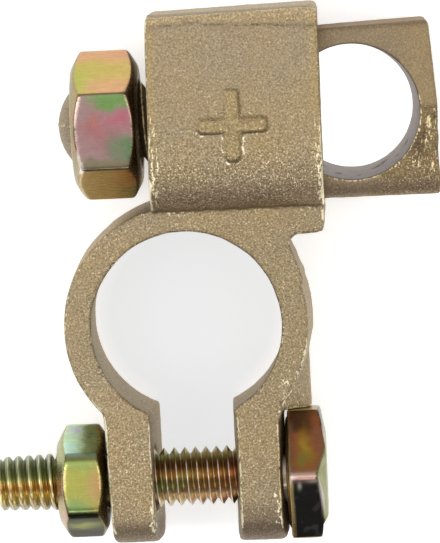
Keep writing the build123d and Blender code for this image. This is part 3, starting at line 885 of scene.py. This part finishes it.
    # where the edges are painted bright: partly rubbed by handling, partly painted highlight
    ring_low = step(1.0, -4.0, y) * step(9.0, 10.6, np.hypot(x, y))
    clump = np.clip(0.5 + 1.6 * Grain(24)(co / 2.2), 0, 1)
    rubbed_and_highlit = np.maximum.reduce([
        (0.26 + 0.26 * clump) * step(-19.4, -18.4, y),
        sleeve * (0.52 + 0.48 * step(22.0, 16.0, y)) * step(1.0, 0.6, np.minimum(from_left, from_right)),
        step(-8.0, -9.5, y) * step(0.40, 0.20, -nrm[:, 1]) * (0.58 + 0.42 * clump),
        ring_low * (0.3 + 0.7 * clump),
        step(9.0, 9.9, y) * (y < 14) * step(3.0, 1.5, np.abs(from_right)),
        step(7.5, 8.8, x) * step(-2.0, -4.0, y) * (0.5 + 0.5 * clump),
    ]) * step(5.0, 7.5, z) * step(-20.30, -19.90, y)
    wear_and_highlight = crease * rubbed_and_highlit
    wear_and_highlight = np.maximum(wear_and_highlight, 0.66 * band * step(-0.30, 0.25, streak))
    wear_and_highlight = np.maximum(wear_and_highlight, 0.75 * crumbs)
    # a painted highlight along the foot of the sleeve
    wear_and_highlight = np.maximum(wear_and_highlight, 0.55 * bell(y - ripple, 10.72, 0.18) * up * step(12.0, 12.3, z) * (z < 13) * clump)
    # a bright torn patch at the right ear's outer corner
    torn = step(1.5, 0.5, np.hypot((x - 8.0) / 0.60, (y + 17.8) / 2.2)) * (z > 9.8)
    wear_and_highlight = np.maximum(wear_and_highlight, 0.72 * torn * np.clip(0.5 + 1.4 * small(co / 0.5), 0, 1))
    torn = step(1.5, 0.5, np.hypot((x + 4.0) / 0.40, (y + 18.2) / 2.2)) * (z > 9.8)
    wear_and_highlight = np.maximum(wear_and_highlight, 0.66 * torn * np.clip(0.5 + 1.4 * small(co / 0.5), 0, 1))
    # a painted highlight: the bright line where the ring's face meets the shoulder
    line = [(11.30, -2.0), (11.05, -4.27), (10.17, -6.11), (9.00, -7.33), (8.38, -8.42)]
    reach = np.full(len(x), 9.0)
    for (ax, ay), (bx, by) in zip(line, line[1:]):
        t = np.clip(((x - ax) * (bx - ax) + (y - ay) * (by - ay)) / ((bx - ax) ** 2 + (by - ay) ** 2), 0, 1)
        reach = np.minimum(reach, np.hypot(x - ax - t * (bx - ax), y - ay - t * (by - ay)))
    wear_and_highlight = np.maximum(wear_and_highlight, 0.86 * bell(reach, 0.0, 0.17) * (z > 9.5) * step(0.2, 0.5, nrm[:, 2]) * (0.70 + 0.30 * clump))
    # the shoulder beside the bolt's head is coarse and bright
    coarse = step(8.2, 9.0, x) * step(-3.2, -5.0, y) * step(-9.6, -9.0, y) * step(0.3, 0.7, nrm[:, 2])
    wear_and_highlight = np.maximum(wear_and_highlight, 0.56 * coarse * np.clip(0.55 + 1.2 * small(co / 0.6), 0, 1))

    drift = np.clip(0.5 + 0.85 * Grain(14)(co / 5.5) + 0.35 * Grain(15)(co / 1.8), 0, 1)[:, None]
    ground = Film(len(co), (0.445, 0.336, 0.178))
    ground.lay(drift[:, 0], (0.395, 0.313, 0.198))
    ground.lay(0.5 * on_top * step(21.0, 25.0, y), (0.400, 0.318, 0.215))
    ground.lay(0.6 * on_top * step(0.0, 0.4, gap), (0.470, 0.352, 0.185))
    ground.lay(0.8 * flat_top * step(0.05, -0.15, away), (0.430, 0.325, 0.165))
    ground.lay(0.75 * step(1.4, 0.2, from_left) * step(14, 15.5, z), (0.470, 0.350, 0.175))
    ground.lay(0.75 * step(1.2, 0.2, from_right) * step(14, 15.5, z), (0.480, 0.358, 0.175))
    # painted shade: the sleeve darker towards its rounded foot
    ground.lay(0.60 * sleeve * step(16.8, 14.2, y), (0.300, 0.226, 0.134))
    ground.lay(0.85 * sleeve * step(13.9, 12.6, y), (0.355, 0.258, 0.166))
    # painted shade: the ears' ends darker
    ground.lay(0.62 * step(-16.5, -17.9, y) * (x > 0), (0.225, 0.162, 0.108))
    ground.lay(0.60 * step(-18.2, -19.6, y), (0.205, 0.152, 0.104))
    ground.lay(0.55 * step(-16.6, -18.2, y) * (x < 0), (0.330, 0.255, 0.165))
    ground.lay(0.35 * step(-18.6, -19.6, y) * (x < 0), (0.150, 0.110, 0.075))
    ground.lay(0.7 * up * bell(np.hypot((x + 9.4) / 2.0, (y + 7.2) / 1.4), 0, 1.0), (0.500, 0.392, 0.235))
    # a painted highlight on the far edge's rounding, and painted shade on the steep wall beyond it
    over = step(28.3, 28.8, y) * step(12.0, 14.5, z)
    ground.lay(0.85 * over * step(0.995, 0.93, nrm[:, 2]) * step(0.25, 0.55, nrm[:, 2]), (0.72, 0.56, 0.33))
    ground.lay(0.80 * over * step(0.45, 0.20, nrm[:, 2]), (0.215, 0.162, 0.092))
    # painted shade: the right half of the ring and the right ear darker
    ground.rgb *= (1 - 0.07 * step(0.0, 8.0, x) * step(12.0, 9.0, y))[:, None]
    paint(me, "ground", ground.rgb)
    attribute(me, "speck", np.clip(speck, 0.0, 1.0))
    attribute(me, "wear_and_highlight", np.clip(wear_and_highlight, 0, 1))
    attribute(me, "hollow_shade", hollow_shade)
    attribute(me, "smooth", 0.20 * on_top * step(18.0, 23.0, y))
    attribute(me, "dull", 0.0 * x)
    thin_out(ob, 194000)
    return finish_piece(ob, "clamp_body", "clamp", cast_brass("cast_brass", 1.0))


# ------------------------------------------------------------------ cable slider
STUD_Y, STUD_Z = 19.05, 8.0
STUD_PITCH, STUD_PHASE = 1.25, 0.30


def stud_radius(X, T, grow=0.0):
    depth = thread_depth(X, T, STUD_PITCH, STUD_PHASE, 0.10, 0.85)
    tip, dome = -11.33, 5.0
    ball = np.sqrt(np.clip(dome**2 - (dome - np.clip(X - tip, 0, dome)) ** 2, 0, None))
    run_in = step(-10.35, -9.85, X)                # threaded before it reaches the nut at +1 mm
    r = 3.93 + grow - 0.70 * depth * run_in
    if grow:
        return r
    return np.maximum(np.minimum(r, ball), 0.02)


def build_slider():
    voxel = 0.15
    ob = cad_copy("cable_slider", "cable_slider_casting")
    # the stud is cut off and put back with its thread
    cutter = turned_grid("cutter", [-20.0, 6.3], lambda X, T: 0 * X + 6.0, STUD_Y, STUD_Z, 32)
    boolean(ob, cutter, "DIFFERENCE")
    remesh(ob, voxel)
    me = ob.data
    co = get_co(me)
    rim = np.hypot(co[:, 0] - 16.42, co[:, 1] - 19.57)
    relax(ob, 7, 0.5, 0.22 + 0.78 * step(0.4, 1.0, np.abs(rim - 6.3)))
    co, nrm = get_co(me), get_normals(me)
    x, y, z = co.T
    bend = curvature(me, voxel, 3)
    big, mid, small = Grain(31), Grain(32), Grain(33)
    rough_side = step(20.2, 19.5, y)
    radial = np.hypot(x - 16.42, y - 19.57)
    wall = step(6.9, 6.6, radial)
    bare_wall = wall * step(0.80, 0.55, nrm[:, 2]) * step(6.50, 6.42, radial)
    lumps = 0.040 * big(co / 3.7) + (0.016 + 0.030 * rough_side) * mid(co / 1.2) + (0.012 + 0.020 * rough_side) * small(co / 0.5)
    edge = step(0.10, 0.40, bend)
    lumps -= edge * 0.05 * np.abs(mid(co / 0.8 + 9.0))
    # torn streaks beside the end, below the parting line
    streak = Grain(63)(np.stack([x / 0.36, y / 1.5, z / 0.8], 1)) + 0.5 * Grain(64)(np.stack([x / 0.25, y / 0.6, z / 0.5], 1))
    torn = step(22.3, 23.2, x) * step(19.5, 18.8, y) * step(12.4, 13.2, y)
    lumps += torn * 0.10 * streak
    # pits in the hole's wall
    pit_at = [
        (-34.8, 7.8, 0.30), (-66.5, 6.8, 0.34), (-61.5, 6.1, 0.30), (-71.0, 7.3, 0.28), (-103.8, 9.4, 0.27),
        (-86.0, 10.4, 0.16), (-48.0, 8.9, 0.17), (-118.0, 7.2, 0.18), (150.0, 9.0, 0.25), (60.0, 8.2, 0.25),
    ]
    ang = np.degrees(np.arctan2(y - 19.57, x - 16.42))
    pits = np.zeros(len(co))
    for a, h, size in pit_at:
        d = (ang - a + 180) % 360 - 180
        pits = np.maximum(pits, bell(np.hypot(d * 0.085, (z - h) * 0.75), 0.0, size))
    pits *= wall
    lumps = lumps * (1 - 0.7 * wall) - 0.16 * pits
    out = co + nrm * lumps[:, None]
    # the parting line stands a little proud on the top beyond the hole, and the lower half sits lower
    up = step(0.6, 0.9, nrm[:, 2])
    beyond = step(22.2, 22.9, x)
    out[:, 2] -= up * 0.07 * rough_side
    out[:, 2] += up * beyond * 0.05 * bell(y, 19.9, 0.22)
    out[:, 2] -= up * 0.10 * rough_side * bell(np.hypot((x - 22.6) / 1.0, (y - 16.6) / 1.7), 0, 1.0)
    out[:, 0] -= 0.17 * step(22.8, 24.2, x) * step(13.0, 14.6, y)
    set_co(me, out)
    bend = curvature(me, voxel, 1)
    nrm = get_normals(me)
    crease = step(0.05, 0.33, bend)
    # painted shade: dark in corners, in the pits and in the torn streaks
    hollow_shade = np.maximum(0.8 * step(-0.03, -0.22, bend) * (1 - wall), np.clip(1.3 * pits, 0, 1))
    hollow_shade = np.maximum(hollow_shade, 0.75 * torn * up * step(0.05, 0.40, -streak))
    low_right = rough_side * step(17.5, 19.5, x)
    rim = crease * step(7.4, 6.9, np.hypot(x - 16.42, y - 19.57))
    speck = 0.12 + 0.40 * low_right + 0.14 * rough_side
    # edge wear, with painted highlights along the hole's rim and on the lower right
    wear_and_highlight = crease * (0.30 + 0.55 * low_right)
    lower_rim = step(22.5, 20.0, y)
    ring_line = bell(radial, 6.43, 0.09) * step(0.35, 0.7, nrm[:, 2])
    wear_and_highlight = np.maximum(wear_and_highlight, rim * (0.30 + 0.40 * lower_rim))
    wear_and_highlight = np.maximum(wear_and_highlight, ring_line * (0.22 + 0.42 * lower_rim))
    wear_and_highlight = np.maximum(wear_and_highlight, 0.58 * torn * up * step(-0.1, 0.40, streak))
    blotch = np.clip(0.5 + 1.5 * Grain(34)(co / 0.75), 0, 1)
    wear_and_highlight = np.maximum(wear_and_highlight, 0.42 * low_right * up * blotch * step(13.2, 14.4, y))
    drift = np.clip(0.5 + 0.9 * Grain(35)(np.stack([x / 5.0, y / 2.2, z / 4.0], 1)) + 0.3 * Grain(36)(co / 1.2), 0, 1)
    ground = Film(len(co), (0.290, 0.224, 0.146))
    ground.lay(drift * 0.8, (0.335, 0.250, 0.138))
    ground.lay(0.8 * step(20.0, 22.5, x) * (1 - rough_side), (0.345, 0.252, 0.136))
    ground.lay(0.8 * low_right, (0.265, 0.188, 0.090))
    # painted shade: darker near the sleeve and towards the lower edge
    ground.lay(0.7 * step(14.4, 15.6, 30 - x) * up, (0.290, 0.216, 0.128))
    ground.lay(0.85 * step(13.6, 12.4, y) * up, (0.265, 0.190, 0.128))
    ground.lay(0.9 * step(26.8, 27.3, y) * step(0.97, 0.70, nrm[:, 2]), (0.430, 0.325, 0.215))
    ground.lay(0.75 * up * bell(np.hypot((x - 22.3) / 0.9, (y - 16.4) / 1.8), 0, 1.0), (0.130, 0.092, 0.050))
    mottle = np.clip(0.5 + 1.2 * Grain(38)(co / np.array([0.9, 0.9, 1.6])), 0, 1)
    ground.lay(bare_wall, (0.270, 0.222, 0.195))
    ground.lay(0.6 * bare_wall * mottle, (0.340, 0.290, 0.260))
    paint(me, "ground", ground.rgb)
    attribute(me, "speck", np.clip(speck * (1 - wall), 0, 1))
    attribute(me, "wear_and_highlight", np.clip(wear_and_highlight, 0, 1))
    attribute(me, "hollow_shade", hollow_shade)
    attribute(me, "smooth", np.clip(0.72 * (1 - low_right) - 0.2 * rough_side + 0.8 * bare_wall, 0, 1))
    attribute(me, "dull", step(26.9, 27.3, y) * step(0.3, 0.7, nrm[:, 1]))
    thin_out(ob, 112000)
    # the stud
    xs = np.concatenate([
        -11.33 + 1.05 * np.linspace(0.02, 1, 14) ** 2,
        np.arange(-10.23, 7.2, 0.055),
    ])
    stud = turned_grid("stud", xs, stud_radius, STUD_Y, STUD_Z, 120)
    sm = stud.data
    sco, snr = get_co(sm), get_normals(sm)
    bare = step(-9.6, -10.0, sco[:, 0])
    line = bell(sco[:, 1], STUD_Y + 0.22, 0.13) * bare
    sco += snr * (line * 0.07 + bare * 0.02 * Grain(37)(sco / 0.8))[:, None]
    set_co(sm, sco)
    r = np.hypot(sco[:, 1] - STUD_Y, sco[:, 2] - STUD_Z)
    in_thread = step(-10.2, -9.2, sco[:, 0])
    laid_colours = Film(len(sco), (0.335, 0.265, 0.175))
    laid_colours.lay(0.6 * in_thread, (0.34, 0.25, 0.13))
    paint(sm, "ground", laid_colours.rgb)
    attribute(sm, "speck", 0.30 + 0 * r)
    # painted highlight on the thread's crests and the parting line; painted shade in its roots
    attribute(sm, "wear_and_highlight", np.maximum(0.6 * step(3.75, 3.92, r) * in_thread, 0.6 * line))
    attribute(sm, "hollow_shade", 0.6 * step(3.55, 3.3, r) * in_thread)
    attribute(sm, "smooth", 0.45 + 0 * r)
    attribute(sm, "dull", 0 * r)
    boolean(ob, stud, "UNION")
    return finish_piece(ob, "cable_slider", "slider", cast_brass("cast_brass_slider", 5.0, (0.86, 0.70, 0.41)))


# ------------------------------------------------------------------ nuts
def build_nut(node, name, body, slot, laid_colours, x0, x1, y, z, bore, pitch, phase, minor, major, voxel, rounds, corner):
    ob = cad_copy(node, name)
    plug = turned_grid("plug", [x0, (x0 + x1) / 2, x1], lambda X, T: 0 * X + bore + 0.25, y, z, 64)
    ob = joined(name, ob, plug)
    remesh(ob, voxel)
    relax(ob, rounds)
    me = ob.data
    if corner:
        bend = curvature(me, voxel, 4)
        relax(ob, corner, 0.5, step(0.04, 0.16, bend))
        relax(ob, 3)
    co, nrm = get_co(me), get_normals(me)
    bend = curvature(me, voxel, 2)
    lumps = 0.010 * Grain(41)(co / 2.0) + 0.003 * Grain(42)(co / 0.6)
    set_co(me, co + nrm * lumps[:, None])
    attribute(me, "bend", bend)

    def cut(X, T):
        depth = thread_depth(X, T, pitch, phase)
        r = major - (major - minor) * depth
        sink = np.minimum(np.maximum(x0 + 0.1 - X, X - (x1 - 0.1)) + major + 0.35, major + 0.35)
        return np.maximum(r, sink)

    ends = np.arange(x0 - 0.4, x1 + 0.4, 0.05)
    rod = turned_grid("rod", ends, cut, y, z, 96)
    attribute(rod.data, "bend", np.full(len(rod.data.vertices), -1.0))
    boolean(ob, rod, "DIFFERENCE")
    me = ob.data
    co, nrm = get_co(me), get_normals(me)
    bend = np.empty(len(me.vertices), np.float32)
    me.attributes["bend"].data.foreach_get("value", bend)
    rgb, wear_and_highlight = laid_colours(co, nrm, bend)
    # painted shade inside the bore's thread
    inside = step(-0.3, -0.9, bend)
    paint(me, "laid_colours", rgb)
    attribute(me, "wear_and_highlight", wear_and_highlight * (1 - inside))
    attribute(me, "hollow_shade", 0.5 * inside)
    return finish_piece(ob, node, body, plated(slot, x0))


# ------------------------------------------------------------------ bolt
BOLT_Y, BOLT_Z = -14.93, 7.5
BOLT_PITCH, BOLT_PHASE = 1.0, 0.10


def bolt_radius(X, T):
    depth = thread_depth(X, T, BOLT_PITCH, BOLT_PHASE)
    full = step(8.4, 7.4, X)                       # the thread runs out under the head
    sharp = 2.80 - 0.60 * depth * full
    # the end that has been through the nut is worn down and rounded
    top = np.interp(X, [-18.9, -18.2, -16.0, -13.5, -12.0], [2.54, 2.60, 2.64, 2.72, 2.80])
    dull = top - (top - 2.16) * thread_depth(X, T, BOLT_PITCH, BOLT_PHASE, 0.0, 0.96) ** 2.3
    r = sharp + (dull - sharp) * step(-11.6, -13.4, X)
    lead = 2.25 + (X + 18.73) * 1.3                 # the tip's chamfer
    r = np.maximum(np.minimum(r, lead), 0.05)
    # rings that keep the end flat
    return np.where(X < -18.7305, 1.0, np.where(X < -18.7301, 2.17, r))


def build_bolt():
    voxel = 0.13
    ob = cad_copy("pinch_bolt", "pinch_bolt_threaded")
    cutter = turned_grid("cutter", [-30.0, 8.72], lambda X, T: 0 * X + 12.0, BOLT_Y, BOLT_Z, 32)
    boolean(ob, cutter, "DIFFERENCE")
    remesh(ob, voxel)
    relax(ob, 7)
    me = ob.data
    # the corners between the flats are broadly rounded
    hx = get_co(me)[:, 0]
    relax(ob, 26, 0.5, step(0.04, 0.16, curvature(me, voxel, 4)) * step(9.5, 9.9, hx) * step(11.5, 11.1, hx))
    relax(ob, 2)
    co, nrm = get_co(me), get_normals(me)
    attribute(me, "bend", curvature(me, voxel, 2))
    lumps = 0.010 * Grain(51)(co / 2.0) + 0.003 * Grain(52)(co / 0.6)
    out = co + nrm * lumps[:, None]
    off = np.abs(out[:, 1] - BOLT_Y)
    far = out[:, 1] > BOLT_Y
    longer = np.where(far, 0.40 * step(0.8, 4.2, off), 0.30 * step(3.3, 4.6, off))
    out[:, 0] += longer * np.clip(out[:, 0] - 11.0, 0, None)
    falls = np.where(far, 0.34 * step(2.6, 5.2, off) + 0.28 * step(5.0, 6.6, off), 0.55 * step(3.5, 4.6, off) + 0.22 * step(4.6, 6.4, off))
    end = 12.60 - falls
    out[:, 0] = np.where(out[:, 0] > 11.4, soft_min(out[:, 0], end, 0.06), out[:, 0])
    set_co(me, out)
    xs = np.concatenate([[-18.731, -18.7303, -18.73], np.arange(-18.69, 9.4, 0.045)])
    rod = turned_grid("rod", xs, bolt_radius, BOLT_Y, BOLT_Z, 96)
    attribute(rod.data, "bend", np.full(len(rod.data.vertices), -1.0))
    boolean(ob, rod, "UNION")
    me = ob.data
    co, nrm = get_co(me), get_normals(me)
    bend = np.empty(len(me.vertices), np.float32)
    me.attributes["bend"].data.foreach_get("value", bend)
    rgb, wear_and_highlight = bolt_tints_and_painted_light(co, nrm, bend)
    paint(me, "laid_colours", rgb)
    x = co[:, 0]
    r = np.hypot(co[:, 1] - BOLT_Y, co[:, 2] - BOLT_Z)
    shank = step(8.9, 8.6, x)
    top = np.interp(x, [-18.9, -18.2, -16.0, -13.5, -12.0], [2.54, 2.60, 2.64, 2.72, 2.80])
    dull = step(-11.6, -13.4, x)
    turn = (x / BOLT_PITCH - np.arctan2(co[:, 2] - BOLT_Z, co[:, 1] - BOLT_Y) / (2 * math.pi) - BOLT_PHASE) % 1.0
    around = np.degrees(np.arctan2(co[:, 2] - BOLT_Z, co[:, 1] - BOLT_Y))
    # painted highlights: thin lines along the thread's crests, fewer on top
    flank = bell(turn, 0.95, 0.030) * 0.85 + bell(turn, 0.42, 0.028) * 0.45 * step(100, 70, around)
    flank *= 1 - 0.75 * bell(around, 90, 12)
    crest = step(top - 0.06, top - 0.005, r) * (1 - dull) * (0.60 - 0.20 * bell(around, 90, 12)) * step(44, 58, around)
    crest = crest + dull * flank
    attribute(me, "wear_and_highlight", np.where(shank > 0.5, crest * step(-18.8, -18.5, x), wear_and_highlight))
    # painted shade in the thread's roots
    root = step(2.50, 2.24, r) * (0.30 - 0.12 * dull)
    # the head's end is in the shade beyond its pale middle
    corner = step(4.1, 4.6, np.abs(co[:, 1] - BOLT_Y)) * step(0.25, 0.5, nrm[:, 0]) * (x > 11.0) * step(6.0, 8.0, co[:, 2])
    corner *= (co[:, 1] < BOLT_Y)
    attribute(me, "hollow_shade", np.maximum(shank * root * step(-18.6, -18.2, x), corner))
    return finish_piece(ob, "pinch_bolt", "bolt", plated("plated_bolt", 3.0, 0.30, 0.10))


clamp = build_clamp()
slider = build_slider()
cable_nut = build_nut(
    "cable_nut", "cable_nut_threaded", "stud_nut", "plated_nut_large", large_nut_tints_and_painted_light,
    -9.90, -3.55, STUD_Y, STUD_Z, 3.98, STUD_PITCH, STUD_PHASE, 3.34, 4.02, 0.13, 6, 12,
)
pinch_nut = build_nut(
    "pinch_nut", "pinch_nut_threaded", "bolt_nut", "plated_nut_small", small_nut_tints_and_painted_light,
    -13.08, -8.42, BOLT_Y, BOLT_Z, 2.91, BOLT_PITCH, BOLT_PHASE, 2.32, 2.96, 0.11, 10, 34,
)
bolt = build_bolt()


# ------------------------------------------------------------------ floor, light
def disc_rings(name, prof, m=96):
    verts, faces = [], []
    start = 0
    if prof[0][0] == 0:
        verts.append((0, 0, prof[0][1]))
        faces += [(0, 1 + k, 1 + (k + 1) % m) for k in range(m)]
        prof, start = prof[1:], 1
    for r, h in prof:
        verts += [(r * math.cos(2 * math.pi * k / m), r * math.sin(2 * math.pi * k / m), h) for k in range(m)]
    for i in range(len(prof) - 1):
        a, b = start + i * m, start + (i + 1) * m
        faces += [(a + k, b + k, b + (k + 1) % m, a + (k + 1) % m) for k in range(m)]
    ob = mesh_object(name, verts, faces)
    ob.data.polygons.foreach_set("use_smooth", np.ones(len(ob.data.polygons), bool))
    return ob


def pale(name, emission, tones=()):
    n = Nodes(name)
    if not tones:
        return n.set(Base_Color=(0.84, 0.84, 0.84), Roughness=0.9, Metallic=0.0,
                     Emission_Color=(1.0, 1.0, 1.0), Emission_Strength=emission)
    colour = glow = n.mix(0.0, (1.0, 1.0, 1.0), (1.0, 1.0, 1.0))
    for centre, radii, tone, lift in tones:
        inside = n.ramp(n.spot(centre, radii), 0.0, 0.25)
        colour = n.mix(inside, colour, (tone, tone, tone))
        glow = n.mix(inside, glow, (lift, lift * 1.01, lift * 1.02))
    return n.set(Base_Color=n.scaled(colour, 0.84), Roughness=0.9, Metallic=0.0,
                 Emission_Color=glow, Emission_Strength=emission)


floor = disc_rings("floor", [(r, -0.00003) for r in (0.0, 0.02, 0.08, 0.3, 0.6)])
# the table lies in the ring's shade inside the bore, painted darker there, and is painted brighter under the slider's
# hole
floor.data.materials.append(pale("floor", 0.55, [
    ((0.0, 0.0, 0.0), (11.5, 11.5, 5.0), 0.25, 1.29),
    ((0.0, -10.0, 0.0), (5.6, 6.6, 5.0), 0.25, 1.29),
    ((16.4, 19.6, 0.0), (9.0, 9.0, 5.0), 1.0, 1.75),
]))
# a sweep far behind it that only the camera sees
curve = [(0.6, -0.00003), (0.9, 0.0)]
curve += [(0.9 + 0.3 * math.sin(a), 0.3 - 0.3 * math.cos(a)) for a in np.linspace(0, math.pi / 2, 9)[1:]]
curve += [(1.2, 0.8), (1.2, 1.6)]
sweep = disc_rings("sweep", curve)
sweep.data.materials.append(pale("sweep", 0.85))
sweep.visible_diffuse = False
sweep.visible_glossy = False
sweep.visible_shadow = False

world = bpy.data.worlds.new("studio")
scene.world = world
world.use_nodes = True
wt = world.node_tree
wt.nodes.clear()
wo = wt.nodes.new("ShaderNodeOutputWorld")
bg = wt.nodes.new("ShaderNodeBackground")
wc = wt.nodes.new("ShaderNodeTexCoord")
ws = wt.nodes.new("ShaderNodeSeparateXYZ")
wt.links.new(wc.outputs["Generated"], ws.inputs[0])


def wmath(op, a, b, c=None):
    n = wt.nodes.new("ShaderNodeMath")
    n.operation = op
    for k, v in enumerate((a, b, c)):
        if v is None:
            continue
        if isinstance(v, bpy.types.NodeSocket):
            wt.links.new(v, n.inputs[k])
        else:
            n.inputs[k].default_value = v
    return n.outputs[0]


# brighter overhead and towards +Y, dim at the horizon towards -Y
rise = wmath("MAXIMUM", ws.outputs["Z"], 0.0)
high = wmath("POWER", rise, 3.0)
level = wmath("MULTIPLY_ADD", high, 0.40, 0.20)
side = wmath("MULTIPLY", ws.outputs["Y"], 0.14)
level = wmath("ADD", level, side)
bg.inputs["Color"].default_value = (1.0, 0.99, 0.97, 1.0)
wt.links.new(level, bg.inputs["Strength"])
wt.links.new(bg.outputs[0], wo.inputs[0])


def softbox(name, place, aim, size, glow, colour=(1, 1, 1)):
    """A soft light of this brightness, whatever its size."""
    light = bpy.data.lights.new(name, "AREA")
    light.shape = "RECTANGLE"
    light.size, light.size_y = size
    light.energy = glow * math.pi * size[0] * size[1]
    light.color = colour
    ob = link(bpy.data.objects.new(name, light))
    d = Vector(aim) - Vector(place)
    ob.location = place
    ob.rotation_mode = "QUATERNION"
    ob.rotation_quaternion = d.to_track_quat("-Z", "Y")
    ob.visible_camera = False
    return ob


softbox("overhead", (0.0, 0.12, 0.80), (0, 0, 0), (0.75, 0.70), 0.5)
softbox("left_strip", (-0.50, 0.05, 0.62), (0, 0, 0), (0.22, 0.70), 4.2)
softbox("right_strip", (0.52, 0.05, 0.60), (0, 0, 0), (0.18, 0.70), 3.8)
softbox("front_strip", (0.0, -0.44, 0.48), (0, -0.01, 0), (0.60, 0.08), 3.6)
